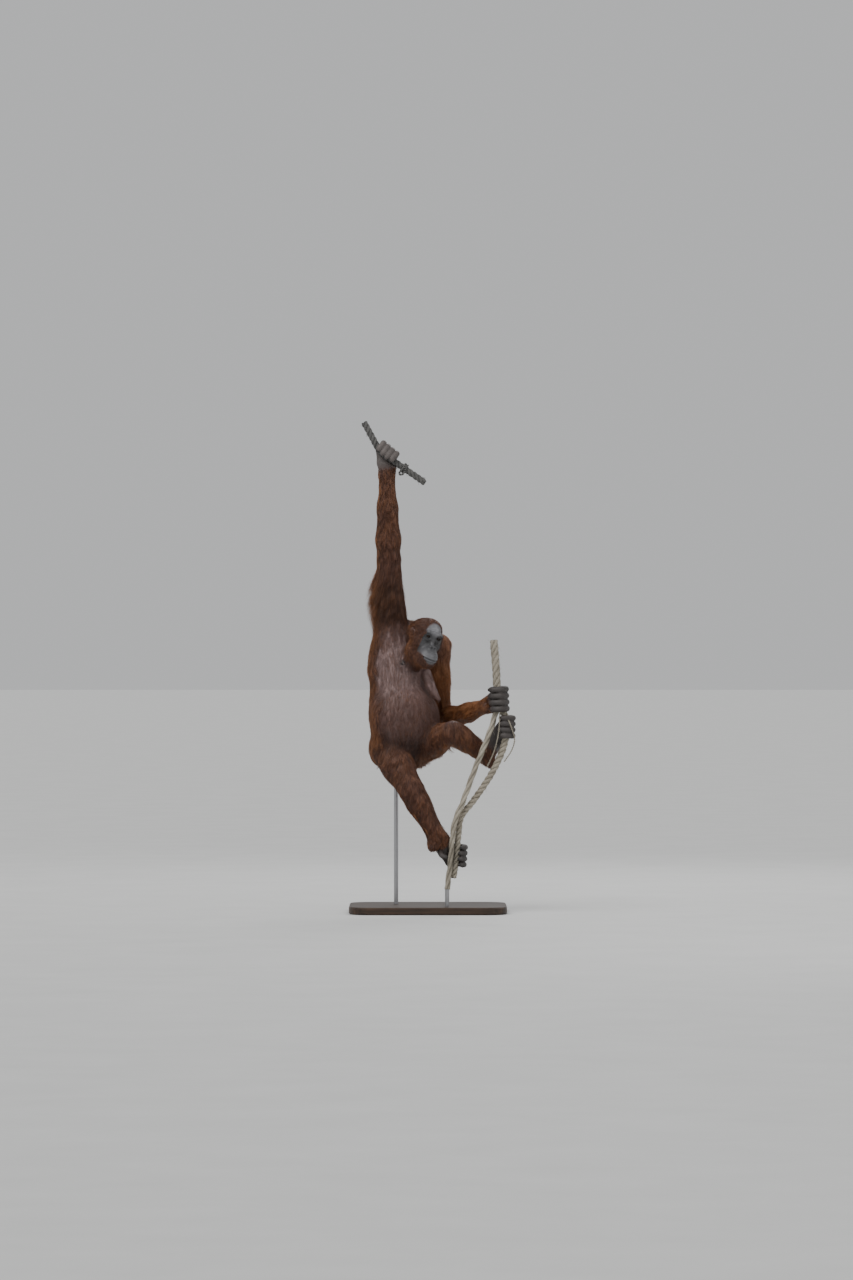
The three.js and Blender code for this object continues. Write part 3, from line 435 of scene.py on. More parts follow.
# Ropes
ROPE = {
    "rope_high": [
        (-266, -101, 2050), (-229, -101, 1982), (-202, -101, 1936),
        (-134, -101, 1884), (-14, -101, 1801),
    ],
    "rope_upper": [(275, -150, 1140), (284, -150, 1020), (293, -150, 856)],
    "rope_straight": [
        (286, -153, 848), (260, -153, 764), (193, -156, 596), (147, -162, 470), (113, -163, 386),
        (101, -161, 302), (93, -156, 210), (80, -150, 102.5),
    ],
    "rope_twisted": [
        (312, -148, 848), (327, -148, 806), (324, -148, 731), (302, -146, 659), (260, -142, 575),
        (189, -136, 470), (139, -133, 403), (127, -134, 323), (119, -135, 239), (108, -138, 150),
    ],
}
ROPE_RADIUS = {"rope_high": 14, "rope_upper": 17, "rope_straight": 12, "rope_twisted": 15}


def rope_room(name, extra):
    line = curve_points(ROPE[name], 16)
    return chain(1, *[(p, ROPE_RADIUS[name] + extra) for p in line])


# Hands and feet
def grip(low, high, out, rope_radius, start, end, width, reach=(0.95, 1, 1, 0.95)):
    """Four digits that close round a rope from low to high, each an arc from angle start to end."""
    low, high, out = vec(*low), vec(*high), vec(*out)
    axis = unit(high - low)
    pitch = np.linalg.norm(high - low) / 4
    e1 = unit(out - axis * (out @ axis))
    e2 = np.cross(axis, e1)
    digits = []
    for i, share in enumerate(reach):
        centre = low + axis * (i + 0.5) * pitch
        ring = rope_radius + width / 2 + 1.5
        points = []
        for step in range(13):
            angle = np.radians(start + (end - start) * share * step / 12)
            knuckled = ring * (1 + 0.08 * abs(np.sin(2.5 * np.pi * step / 12)))
            points.append(centre + e1 * knuckled * np.cos(angle) + e2 * knuckled * np.sin(angle))
        digits.append((np.array(points), width / 2))
    return digits


HAND_L = grip((294, -150, 841), (289, -150, 949), (1, 0, 0), 17.5, 62, -168, 27, (0.94, 1, 1, 0.96))
HAND_R = grip((-213, -101, 1948), (-141, -101, 1890), (0.42, 0, 0.9), 14.6, -95, 118, 26)
FOOT_L = grip((324, -148, 731), (326, -148, 829), (1, 0, 0), 15.5, 95, -150, 24.5)
FOOT_R = grip((106, -148, 196), (113, -149, 292), (1, 0, 0), 28, 120.5, -66, 24)
KNUCKLES = (0.2, 0.55, 0.85)
EXTREMITY = {
    # Digits, the root and radii of the fans that join them to it, more of the palm, thumb and its radius
    "hand_right": (
        HAND_R, "wristR", 28, 24, [],
        [(-156, -70, 1852), (-143, -84, 1866), (-137, -100, 1870)], 10,
    ),
    "hand_left": (
        HAND_L, "wristL", 26, 24, [],
        [(262, -108, 878), (252, -136, 892), (262, -166, 900)], 11,
    ),
    "foot_left": (
        FOOT_L, "ankleL", 28, 26, [(JOINT["ankleL"], vec(258, -66, 634), 26, 21)],
        [(272, -84, 690), (286, -116, 692), (286, -146, 704)], 10.5,
    ),
    "foot_right": (
        FOOT_R, "ankleR", 29, 26, [(JOINT["ankleR"], vec(22, -178, 286), 27, 21)],
        [(48, -160, 262), (58, -184, 244), (78, -196, 236)], 10.5,
    ),
}


def digit_radius(t, radius):
    knuckle = sum(np.exp(-(((t - k) / 0.07) ** 2)) for k in KNUCKLES)
    tip = np.sqrt(max(1 - 0.75 * (max(0, t - 0.85) / 0.15) ** 2, 0.05))
    return radius * (0.93 - 0.12 * t + 0.09 * knuckle) * tip


def digit(points, radius):
    last = len(points) - 1
    return chain(4, *[(p, digit_radius(i / last, radius)) for i, p in enumerate(points)])


def extremity(name):
    """A hand or foot: a fan from the wrist or ankle to each digit, and the digits and thumb."""
    digits, root, root_radius, middle_radius, web, thumb, thumb_radius = EXTREMITY[name]
    root = JOINT[root]
    fans = []
    for points, radius in digits:
        middle = mix(root, points[0], 0.5)
        fans.append(taper(root, middle, root_radius, middle_radius))
        fans.append(taper(middle, points[0], middle_radius, radius))
    palm = blend(10, *fans, *[taper(*length) for length in web])
    fingers = blend(2.5, *[digit(p, r) for p, r in digits], digit(curve_points(thumb, 9), thumb_radius))
    return blend(7, palm, fingers)


hands = {name: extremity(name) for name in EXTREMITY}
BREAST = [vec(-6, -34, 1004), vec(10, -52, 953), vec(27, -60, 920), vec(46, -62, 894)]
breast = chain(6, *[(p, 19 * np.sqrt(1 - 0.86 * t**2)) for t, p in zip((0, 0.38, 0.68, 1), BREAST)])
NIPPLE = placed(TORSO, -53, -112, 348)
nipple = taper(placed(TORSO, -52, -104, 352), placed(TORSO, -54, -120, 344), 8, 5)
limbs = [length_field(limb, index, LIMB_COAT) for limb in LIMB for index in (0, 1)]
body = blend(20, grown(trunk, -TRUNK_COAT), *limbs)
body = blend(9, body, breast, nipple, *hands.values())
ROPE_CLEARANCE = 1.0
skin_field = carve(2, blend(12, body, head), *[rope_room(name, ROPE_CLEARANCE) for name in ROPE])

# One skin over a grid with fine cells at the head
CELL, HEAD_CELL = 4.4, 2.0


def grid_lines(low, high, fine_low, fine_high):
    lines = [low]
    while lines[-1] < high:
        lines.append(lines[-1] + (HEAD_CELL if fine_low < lines[-1] < fine_high else CELL))
    return np.array(lines)


def surface(field, lines, block=12):
    """The surface nets of a field: vertices and quads. Blocks that the surface can't cross are skipped."""
    shape = tuple(len(line) for line in lines)
    value = np.full(shape, 1.0, np.float32)
    for start in product(*[range(0, n - 1, block) for n in shape]):
        parts = [line[s : s + block + 1] for line, s in zip(lines, start)]
        low, high = (np.array([part[end] for part in parts]) for end in (0, -1))
        away = field((low + high)[None] / 2)[0]
        window = tuple(slice(s, s + len(part)) for s, part in zip(start, parts))
        if abs(away) > np.linalg.norm(high - low) / 2 * 1.25 + 8:
            value[window] = np.sign(away)
        else:
            points = np.stack(np.meshgrid(*parts, indexing="ij"), -1).reshape(-1, 3)
            value[window] = field(points).reshape([len(part) for part in parts])
    inside = value < 0
    cell = tuple(n - 1 for n in shape)
    count = np.zeros(cell, np.int8)
    corners = list(product((0, 1), repeat=3))

    def shifted(array, corner):
        return array[tuple(slice(o, o + n) for o, n in zip(corner, cell))]

    for corner in corners:
        count += shifted(inside, corner)
    active = np.argwhere((count > 0) & (count < 8))
    total = np.zeros((len(active), 3))
    crossings = np.zeros(len(active))
    for corner in corners:
        for axis in range(3):
            if corner[axis]:
                continue
            far = tuple(1 if n == axis else c for n, c in enumerate(corner))
            a, b = active + corner, active + far
            va, vb = value[tuple(a.T)], value[tuple(b.T)]
            hit = (va < 0) != (vb < 0)
            t = np.where(hit, va / np.where(hit, va - vb, 1), 0)[:, None]
            pa = np.stack([line[a[:, n]] for n, line in enumerate(lines)], 1)
            pb = np.stack([line[b[:, n]] for n, line in enumerate(lines)], 1)
            total += np.where(hit[:, None], pa + t * (pb - pa), 0)
            crossings += hit
    vertices = total / crossings[:, None]
    number = np.full(cell, -1, np.int32)
    number[tuple(active.T)] = np.arange(len(active))
    quads = []
    for axis in range(3):
        u, w = (axis + 1) % 3, (axis + 2) % 3
        near = [slice(1, n - 1) for n in shape]
        ahead = list(near)
        near[axis], ahead[axis] = slice(0, shape[axis] - 1), slice(1, shape[axis])
        a, b = inside[tuple(near)], inside[tuple(ahead)]
        edge = np.argwhere(a != b)
        outward = a[tuple(edge.T)]
        offset = np.ones(3, int)
        offset[axis] = 0
        edge = edge + offset
        ring = []
        for du, dw in ((-1, -1), (0, -1), (0, 0), (-1, 0)):
            at = edge.copy()
            at[:, u] += du
            at[:, w] += dw
            ring.append(number[tuple(at.T)])
        quad = np.stack(ring, 1)
        quads.append(np.where(outward[:, None], quad, quad[:, ::-1]))
    return vertices, np.vstack(quads)


lines = [
    grid_lines(-262, 378, -58, 62),
    grid_lines(-222, 170, -212, -95),
    grid_lines(186, 2002, 1025, 1216),
]
skin_points, skin_quads = surface(skin_field, lines)
for _ in range(2):
    distance, skin_normals = value_and_normal(skin_field, skin_points)
    skin_points = skin_points - skin_normals * np.clip(distance, -2, 2)[:, None] * 0.8


def make_mesh(name, points, faces, slot, smooth=True):
    """A piece in metres from points in millimetres and faces of one size, on the model's only body."""
    mesh = bpy.data.meshes.new(name)
    count, size = faces.shape
    mesh.vertices.add(len(points))
    mesh.vertices.foreach_set("co", (np.asarray(points) * MM).astype(np.float32).ravel())
    mesh.loops.add(count * size)
    mesh.loops.foreach_set("vertex_index", faces.astype(np.int32).ravel())
    mesh.polygons.add(count)
    mesh.polygons.foreach_set("loop_start", np.arange(count, dtype=np.int32) * size)
    mesh.polygons.foreach_set("use_smooth", np.full(count, smooth))
    mesh.update()
    mesh.validate()
    piece = bpy.data.objects.new(name, mesh)
    bpy.context.scene.collection.objects.link(piece)
    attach(piece, "root")
    return piece


def paint(piece, name, colours):
    """A colour for each point, in as many channels as are given."""
    layer = piece.data.color_attributes.new(name, "FLOAT_COLOR", "POINT")
    rgba = np.ones((len(colours), 4), np.float32)
    rgba[:, : colours.shape[1]] = colours
    layer.data.foreach_set("color", rgba.ravel())


# Parts of the body: a field, the line that its coat is laid out along, and how its hair grows
FRONT = unit(vec(np.sin(np.radians(TORSO_YAW)), -np.cos(np.radians(TORSO_YAW)), 0))
DOWN = vec(0, 0, -1)
WAIST = 222
Part = namedtuple("Part", "field start end flow length lift width density")


def trunk_part(low, high):
    return Part(torso, placed(TORSO, 0, 10, low), placed(TORSO, 0, 10, high), (0, 0, -1), 95, 9, 1.9, 8)


def limb_part(limb, index, *hair):
    start, end, _ = LIMB[limb][index]
    return Part(length_field(limb, index), JOINT[start], JOINT[end], *hair)


def hand_part(name, flow):
    digits, root = EXTREMITY[name][:2]
    second_digit, _ = digits[1]
    return Part(hands[name], JOINT[root], second_digit[0], flow, 36, 4, 1.3, 9)


PART = {
    # The last numbers are a hair's length, lift and width, and the tufts of a square centimetre
    "head": Part(head_core, placed(HEAD, 0, 66, -14), placed(HEAD, 0, 66, 40), None, 36, 6, 1.4, 22),
    "neck": Part(blend(20, neck, throat), NECK_BASE, SKULL_BASE, (0.0, 0.5, -0.8), 55, 6, 1.7, 11),
    "chest": trunk_part(WAIST, 470),
    "belly": trunk_part(-70, WAIST),
    "upper_arm_right": limb_part("armR", 0, (-0.3, 0.12, -1), 115, 13, 1.8, 10.5),
    "forearm_right": limb_part("armR", 1, (-0.06, 0.03, -1), 84, 7, 1.8, 9.5),
    "upper_arm_left": limb_part("armL", 0, (0.05, 0.1, -1), 105, 12, 1.9, 9.5),
    "forearm_left": limb_part("armL", 1, (-0.45, 0.5, -0.5), 80, 8, 1.8, 10),
    "thigh_right": limb_part("legR", 0, (-0.1, 0.1, -1), 78, 7, 1.9, 9),
    "shin_right": limb_part("legR", 1, (-0.1, 0.05, -1), 70, 8, 1.8, 10),
    "thigh_left": limb_part("legL", 0, (0.1, 0.1, -1), 80, 11, 1.9, 9.5),
    "shin_left": limb_part("legL", 1, (0.1, 0.1, -1), 68, 12, 1.8, 10),
    "hand_right": hand_part("hand_right", (-0.06, 0.03, -1)),
    "hand_left": hand_part("hand_left", (-0.5, 0.6, -0.4)),
    "foot_left": hand_part("foot_left", (0.1, 0.1, -1)),
    "foot_right": hand_part("foot_right", (-0.2, 0.05, -0.6)),
}
INDEX = {name: i for i, name in enumerate(PART)}


def part_weights(points, softness=9.0):
    """How much each point belongs to each part."""
    away = np.stack([evaluate(part.field, points) for part in PART.values()], 1)
    height = local(TORSO, points)[:, 2]
    away[:, INDEX["chest"]] += np.maximum(WAIST - height, 0)
    away[:, INDEX["belly"]] += np.maximum(height - WAIST, 0)
    weights = np.exp(-(away - away.min(1, keepdims=True)) / softness)
    return weights / weights.sum(1, keepdims=True)


def share(weights, *names):
    """How much each point belongs to some parts together."""
    return sum(weights[:, INDEX[name]] for name in names)


def from_face(q):
    """How far a point of the head is from the middle of the face, with 1 at the hairline."""
    return np.hypot(q[:, 0] / 51, (q[:, 2] + 29) / np.where(q[:, 2] > -29, 90, 84))


def bareness(points, weights):
    """1 on bare skin: the face, the nipple, palms, digits and soles."""
    q = local(HEAD, points)
    face_zone = (1 - smoothstep(from_face(q), 0.9, 1.04)) * (1 - smoothstep(q[:, 1], 40, 60))
    bare = face_zone * share(weights, "head")
    bare = np.maximum(bare, 1 - smoothstep(np.linalg.norm(points - NIPPLE, axis=1), 10, 17))
    for hand in hands:
        way = PART[hand].end - PART[hand].start
        along = (points - PART[hand].start) @ way / (way @ way)
        bare = np.maximum(bare, share(weights, hand) * smoothstep(along, 0.05, 0.6))
    return np.clip(bare, 0, 1)


def front_of_trunk(points, normals, weights):
    """1 on the thinly haired front of the trunk and on the breast."""
    on_trunk = share(weights, "chest", "belly") + 0.7 * share(weights, "neck")
    front = on_trunk * smoothstep(normals @ FRONT, -0.05, 0.5)
    return np.maximum(front, 0.9 * (1 - smoothstep(evaluate(breast, points), 2, 12)))


# Colours, which the skin and the coat share
DARK_SKIN = vec(0.052, 0.044, 0.041)
FACE_SKIN = vec(0.066, 0.065, 0.069)
BELLY_SKIN = vec(0.108, 0.056, 0.046)
# The chest's own greyer skin, painted lighter as if lit from above
CHEST_SKIN_TOP_LIT = vec(0.250, 0.168, 0.157)
ARM_SKIN = vec(0.085, 0.042, 0.033)
DEEP_HAIR = vec(0.105, 0.046, 0.031)
BRIGHT_HAIR = vec(0.40, 0.165, 0.065)


def waves(points, scale, seed):
    """A soft random pattern from -1 to 1, of some scale in millimetres."""
    draw = np.random.default_rng(seed)
    total = np.zeros(len(points))
    for _ in range(7):
        direction = unit(draw.normal(size=3)) * 2 * np.pi / (scale * draw.uniform(0.6, 1.6))
        total += np.sin(points @ direction + draw.uniform(0, 6.28))
    return np.clip(total / 3.2, -1, 1)


def hair_orange_and_light(points, normals, weights):
    """0 for deep brown, 1 for orange: the back's own orange hair and the underside of the left leg, with
    painted light on the lit left arm and a painted rim light on the outer sides and fringes.
    """
    orange_and_lit = 0.1 + 0.45 * smoothstep(normals @ FRONT, 0.35, -0.6)
    # Painted light: the left arm is lit, so its hair is painted brighter.
    orange_and_lit += 0.75 * share(weights, "forearm_left") + 0.65 * share(weights, "upper_arm_left")
    orange_and_lit -= 0.12 * share(weights, "head")
    # Painted rim light on the outer sides of the raised upper arm and the right shin
    outer = smoothstep(-normals[:, 0], 0.2, 0.95)
    orange_and_lit += 0.35 * outer * (share(weights, "upper_arm_right") + 0.5 * share(weights, "shin_right"))
    under = smoothstep(-normals[:, 2], 0.1, 0.8)
    orange_and_lit += 0.4 * under * share(weights, "thigh_left", "shin_left")
    orange_and_lit += 0.12 * waves(points, 90, 3) + 0.08 * waves(points, 25, 4)
    return np.clip(orange_and_lit, 0, 1)


def shadow(points, normals, weights):
    """Darker places: the groin, the inner side of the raised upper arm and the throat."""
    height = local(TORSO, points)[:, 2]
    groin = share(weights, "chest", "belly") * (1 - smoothstep(height, -10, 95))
    inner = share(weights, "upper_arm_right") * smoothstep(-normals[:, 1], 0.1, 0.7)
    inner = inner * smoothstep(points[:, 2], 1240, 1300) * (1 - smoothstep(points[:, 2], 1420, 1490))
    under_jaw = share(weights, "neck") * smoothstep(-normals[:, 2], -0.2, 0.6)
    return 1 - 0.5 * np.clip(groin + inner + 0.6 * under_jaw, 0, 1)


def skin_colour(points, normals, weights, bare):
    trunk_share = share(weights, "chest", "belly", "neck")[:, None]
    # Painted light: higher up, the trunk takes the lighter, top-lit chest colour.
    upper = smoothstep(local(TORSO, points)[:, 2], 160, 285)[:, None]
    colour = ARM_SKIN * (1 - trunk_share) + mix(BELLY_SKIN, CHEST_SKIN_TOP_LIT, upper) * trunk_share
    q = local(HEAD, points)
    # Painted light on the face: a painted highlight on the brow and painted shade in the eye sockets; the
    # lighter mouth is the skin's own colour.
    brow = np.exp(-(((q[:, 0]) / 30) ** 2 + ((q[:, 2] - 36) / 20) ** 2))
    mouth = np.exp(-(((q[:, 2] + 84) / 22) ** 2)) * smoothstep(-q[:, 1], -30, 10)
    sockets = np.exp(-(((np.abs(q[:, 0]) - 27) / 19) ** 2 + ((q[:, 2] + 1) / 15) ** 2))
    face_tone = FACE_SKIN * (1 + 3.6 * brow + 0.9 * mouth - 0.8 * sockets)[:, None]
    face_tone = np.where(q[:, 1:2] < 70, face_tone, FACE_SKIN)
    # Painted light: the raised right hand is painted lighter than the other hands, as light falls on it from
    # above.
    on_head, raised = share(weights, "head")[:, None], share(weights, "hand_right")[:, None]
    bare_tone = on_head * face_tone + (1 - on_head) * DARK_SKIN * (1 + 1.2 * raised)
    colour = colour * (1 - bare[:, None]) + bare_tone * bare[:, None]
    mottle = 1 + 0.14 * waves(points, 60, 5) + 0.1 * waves(points, 14, 6)
    return np.clip(colour * (mottle * shadow(points, normals, weights))[:, None], 0.002, 1)


skin_weights = part_weights(skin_points)
skin_bare = bareness(skin_points, skin_weights)
skin = make_mesh("skin", skin_points, skin_quads, "thin_coat")
paint(skin, "tone", skin_colour(skin_points, skin_normals, skin_weights, skin_bare))
paint(skin, "zone", np.stack([skin_bare, share(skin_weights, "head") * skin_bare], 1))
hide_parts(*[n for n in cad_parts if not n.startswith(("perch_", "stand_", "eye_"))])


# The coat: flat tufts with a keel, spread evenly over the skin
def chart(name, points):
    """Where a point lies on the unwrapped part, 0 to 1 both ways."""
    way = PART[name].end - PART[name].start
    axis = unit(way)
    e1 = unit(np.cross(axis, vec(0.3, 1, 0.2)))
    e2 = np.cross(axis, e1)
    q = points - PART[name].start
    angle = np.arctan2(q @ e2, q @ e1) / (2 * np.pi) + 0.5
    if name == "head":
        height = np.arccos(np.clip(unit(q) @ axis, -1, 1)) / np.pi
    else:
        height = ((q @ axis) / np.linalg.norm(way) + 0.5) / 2
    return np.clip(np.stack([angle, height], 1) * 0.98 + 0.01, 0.003, 0.997)


corner = skin_points[skin_quads]
diagonals = corner[:, 2] - corner[:, 0], corner[:, 3] - corner[:, 1]
quad_area = np.linalg.norm(np.cross(*diagonals), axis=1) / 2
quad_normal = unit(skin_normals[skin_quads].mean(1))
quad_weights = skin_weights[skin_quads].mean(1)
quad_bare = skin_bare[skin_quads].mean(1)
quad_front = front_of_trunk(corner.mean(1), quad_normal, quad_weights)
quad_part = quad_weights.argmax(1)

# A tuft has rings of three points, and a tip. Its patch is its size on the unwrapped skin.
SEGMENTS = 3
WIDTHS = (0.6, 1.0, 0.75)
KEEL = 0.55
PATCH = 0.003
ROOT_DEPTH, LEAST_LIFT = 1.5, 1.2
CLUMP_TUFTS, CLUMP_REACH, CLUMP_LEAN, TUFT_LEAN = 14, 22, 0.16, 0.06
FRONT_SPARSER, FRONT_SHORTER, FRONT_FLATTER, FRONT_THINNER = 0.72, 0.66, 0.75, 0.4
BARE_SHORTER, FACE_SHORTER, FACE_FLATTER = 0.5, 0.6, 0.55
FRINGE_LIFT, FRINGE_LONGER = 44, 0.35
TIP = 3 * SEGMENTS
TUFT = [(0, 1, 2)]
for ring_start in range(0, TIP - 3, 3):
    for i in range(3):
        a, b = ring_start + i, ring_start + (i + 1) % 3
        TUFT += [(a, a + 3, b + 3), (a, b + 3, b)]
TUFT = np.array(TUFT + [(TIP - 3 + i, TIP, TIP - 3 + (i + 1) % 3) for i in range(3)])
SPOTS = [((i % 3 - 1) * PATCH / 2, (i // 3) * PATCH / SEGMENTS) for i in range(TIP)] + [(0, PATCH)]


def flow_at(points, weights):
    """The way that the hair lies. On the head it goes back over the crown and down the sides."""
    total = np.zeros_like(points)
    for name, part in PART.items():
        if name == "head":
            q = local(HEAD, points)
            crown = smoothstep(q[:, 2], 8, 52)[:, None]
            aside = np.sign(q[:, :1]) * smoothstep(np.abs(q[:, :1]), 0, 40)
            side = 0.35 * (aside * (HEAD[0] @ vec(1, 0.25, 0)))
            flow = unit(crown * (HEAD[0] @ vec(0, 1, -0.1) + side) + (1 - crown) * (DOWN + side))
        else:
            flow = unit(vec(*part.flow))
        total += share(weights, name)[:, None] * flow
    return unit(total)


def clumped(root):
    """The clump that each tuft belongs to, and the tuft in the middle of each clump."""
    middles = rng.permutation(len(root))[: max(1, len(root) // CLUMP_TUFTS)]
    tree = KDTree(len(middles))
    for n, middle in enumerate(middles):
        tree.insert(root[middle], n)
    tree.balance()
    return np.array([tree.find(p)[1] for p in root]), middles


def tufts(name):
    """The coat of one part: each tuft's points, their colours and their places on the unwrapped skin."""
    here = np.flatnonzero(quad_part == INDEX[name])
    cover = 1 - smoothstep(quad_bare[here], 0.25, 0.8)
    expected = quad_area[here] / 100 * PART[name].density * cover
    expected = expected * (1 - FRONT_SPARSER * quad_front[here])
    steps = np.floor(np.cumsum(expected) + rng.uniform()).astype(int)
    picked = np.repeat(here, np.diff(np.concatenate([[0], steps])))
    c = corner[picked]
    u, v = rng.uniform(0, 1, (2, len(picked), 1))
    root = (c[:, 0] * (1 - u) + c[:, 1] * u) * (1 - v) + (c[:, 3] * (1 - u) + c[:, 2] * u) * v
    weights, normal = quad_weights[picked], quad_normal[picked]
    front, bare = quad_front[picked], quad_bare[picked]
    lengths = sum(share(weights, n) * part.length for n, part in PART.items())
    lifts = sum(share(weights, n) * part.lift for n, part in PART.items())
    near_face = share(weights, "head") * (1 - smoothstep(from_face(local(HEAD, root)), 1.0, 1.5))
    lengths = lengths * (1 - FRONT_SHORTER * front) * (1 - BARE_SHORTER * bare)
    lengths = lengths * (1 - FACE_SHORTER * near_face) * rng.uniform(0.7, 1.15, len(root))
    lifts = lifts * (1 - FRONT_FLATTER * front) * (1 - FACE_FLATTER * near_face)
    lifts = lifts * rng.uniform(0.3, 1.25, len(root))
    if name == "upper_arm_right":
        fringe = smoothstep(root[:, 2], 1240, 1420) * smoothstep(-normal[:, 0], -0.1, 0.8)
        lifts = lifts + FRINGE_LIFT * fringe * rng.uniform(0.4, 1.1, len(root))
        lengths = lengths * (1 + FRINGE_LONGER * fringe)

    # Tufts of one clump lean the same way and close up towards their tips
    clump, middles = clumped(root)
    lean = rng.normal(0, CLUMP_LEAN, (len(middles), 3))[clump]
    lean = lean + rng.normal(0, TUFT_LEAN, (len(root), 3))
    flow = unit(flow_at(root, weights) + lean)
    p = root - normal * ROOT_DEPTH
    path, sides, outs = [p], [], []
    for step in range(1, SEGMENTS + 1):
        _, out = value_and_normal(skin_field, p)
        along = unit(flow - out * (flow * out).sum(1, keepdims=True) * 0.85)
        sides.append(unit(np.cross(along, out)))
        outs.append(out)
        p = p + along * (lengths / SEGMENTS)[:, None]
        away, out = value_and_normal(skin_field, p)
        change = LEAST_LIFT + lifts * (step / SEGMENTS) ** 1.5 - away
        p = p + out * np.where(change < 0, change * 0.55, change)[:, None]
        path.append(p)
    path = np.stack(path, 1)
    own = middles[clump]
    pull = (0.5 * np.linspace(0, 1, SEGMENTS + 1) ** 1.3)[None, :, None]
    target = path[own] + (root - root[own])[:, None, :] * 0.25
    near = np.linalg.norm(root - root[own], axis=1) < CLUMP_REACH
    path = path + (target - path) * pull * near[:, None, None]

    half = PART[name].width * rng.uniform(0.7, 1.25, len(root)) / 2
    half = half * (1 - FRONT_THINNER * front)
    rings = []
    for step, wide in enumerate(WIDTHS):
        w = (half * wide)[:, None]
        middle, side = path[:, step], sides[step] * w
        rings += [middle + side, middle + outs[step] * w * KEEL, middle - side]
    points = np.stack([*rings, path[:, -1]], 1)

    orange_and_lit = hair_orange_and_light(root, normal, weights) + rng.normal(0, 0.1, len(root))
    hair = mix(DEEP_HAIR, BRIGHT_HAIR, np.clip(orange_and_lit, 0, 1)[:, None])
    hair = hair * shadow(root, normal, weights)[:, None]
    shade = np.append(np.repeat(np.linspace(0, 1, SEGMENTS), 3), 1.0)[None, :, None]
    thin_share = 0.6 * front[:, None, None]
    under = skin_colour(root, normal, weights, bare)[:, None]
    colours = hair[:, None] * (0.62 + 0.5 * shade) * (1 - thin_share) + under * thin_share * 1.2
    tip = np.clip(orange_and_lit[:, None, None] * 0.5 * shade**2, 0, 0.5)
    return points, mix(colours, BRIGHT_HAIR, tip), chart(name, root)[:, None] + np.array(SPOTS)


MOST_TRIANGLES = 190000
coat_pieces = []
for part_name in PART:
    points, colours, uv = tufts(part_name)
    count = -(-len(points) * len(TUFT) // MOST_TRIANGLES)
    bounds = np.linspace(0, len(points), count + 1).astype(int)
    for number, (low, high) in enumerate(zip(bounds, bounds[1:]), 1):
        faces = (np.arange(high - low)[:, None, None] * (TIP + 1) + TUFT).reshape(-1, 3)
        title = f"coat_{part_name}" + (f"_{number}" if count > 1 else "")
        piece = make_mesh(title, points[low:high].reshape(-1, 3), faces, "long_coat")
        paint(piece, "tone", colours[low:high].reshape(-1, 3))
        layer = piece.data.uv_layers.new(name="OFBake")
        own_uv = uv[low:high].reshape(-1, 2)[faces.ravel()]
        layer.data.foreach_set("uv", own_uv.astype(np.float32).ravel())
        coat_pieces.append(piece)


# Materials
class Shader:
    """A material whose nodes are added and linked in short calls."""

    def __init__(self, name):
        self.material = bpy.data.materials.new(name)
        self.material.use_nodes = True
        self.tree = self.material.node_tree
        self.bsdf = self.tree.nodes["Principled BSDF"]

    def add(self, kind, **settings):
        """A node. A setting is a constant or another node's output for a socket, or a property."""
        node = self.tree.nodes.new("ShaderNode" + kind)
        for key, value in settings.items():
            if key in node.inputs:
                self.put(node.inputs[key], value)
            else:
                setattr(node, key, value)
        return node

    def put(self, socket, value):
        if isinstance(value, bpy.types.NodeSocket):
            self.tree.links.new(value, socket)
        elif isinstance(value, tuple) and socket.type == "RGBA":
            socket.default_value = (*value, 1)
        else:
            socket.default_value = value

    def place(self):
        return self.add("TexCoord").outputs["Object"]

    def stretched(self, scale, rotation=(0, 0, 0)):
        node = self.add("Mapping", Scale=scale, Rotation=rotation, Vector=self.place())
        return node.outputs["Vector"]

    def noise(self, scale, detail=4.0, roughness=0.6, where=None):
        where = where or self.place()
        node = self.add("TexNoise", Scale=scale, Detail=detail, Roughness=roughness, Vector=where)
        return node.outputs["Fac"]

    def cells(self, scale):
        node = self.add("TexVoronoi", feature="DISTANCE_TO_EDGE", Scale=scale, Vector=self.place())
        return node.outputs["Distance"]

    def ramp(self, source, *stops):
        node = self.add("ValToRGB", Fac=source)
        band = node.color_ramp.elements
        while len(band) < len(stops):
            band.new(0.5)
        for element, (position, colour) in zip(band, stops):
            element.position = position
            element.color = (*colour, 1) if isinstance(colour, tuple) else (colour, colour, colour, 1)
        return node.outputs["Color"]

    def math(self, operation, a, b):
        node = self.add("Math", operation=operation)
        self.put(node.inputs[0], a)
        self.put(node.inputs[1], b)
        return node.outputs["Value"]

    def ranged(self, base, source, factor):
        """base + source * factor"""
        return self.math("ADD", base, self.math("MULTIPLY", source, factor))

    def mixed(self, a, b, factor, mode="MIX"):
        node = self.add("Mix", data_type="RGBA", blend_type=mode)
        for index, value in ((0, factor), (6, a), (7, b)):
            self.put(node.inputs[index], value)
        return node.outputs[2]

    def attribute(self, name):
        return self.add("Attribute", attribute_name=name).outputs["Color"]

    def channels(self, name):
        return self.add("SeparateColor", Color=self.attribute(name)).outputs

    def bump(self, height, strength, distance, **under):
        node = self.add("Bump", Strength=strength, Distance=distance, Height=height, **under)
        return node.outputs["Normal"]

    def give(self, colour, roughness, normal=None, **constants):
        self.put(self.bsdf.inputs["Base Color"], colour)
        self.put(self.bsdf.inputs["Roughness"], roughness)
        if normal is not None:
            self.put(self.bsdf.inputs["Normal"], normal)
        for key, value in constants.items():
            self.bsdf.inputs[key.replace("_", " ").title().replace("Ior", "IOR")].default_value = value
        return self.material


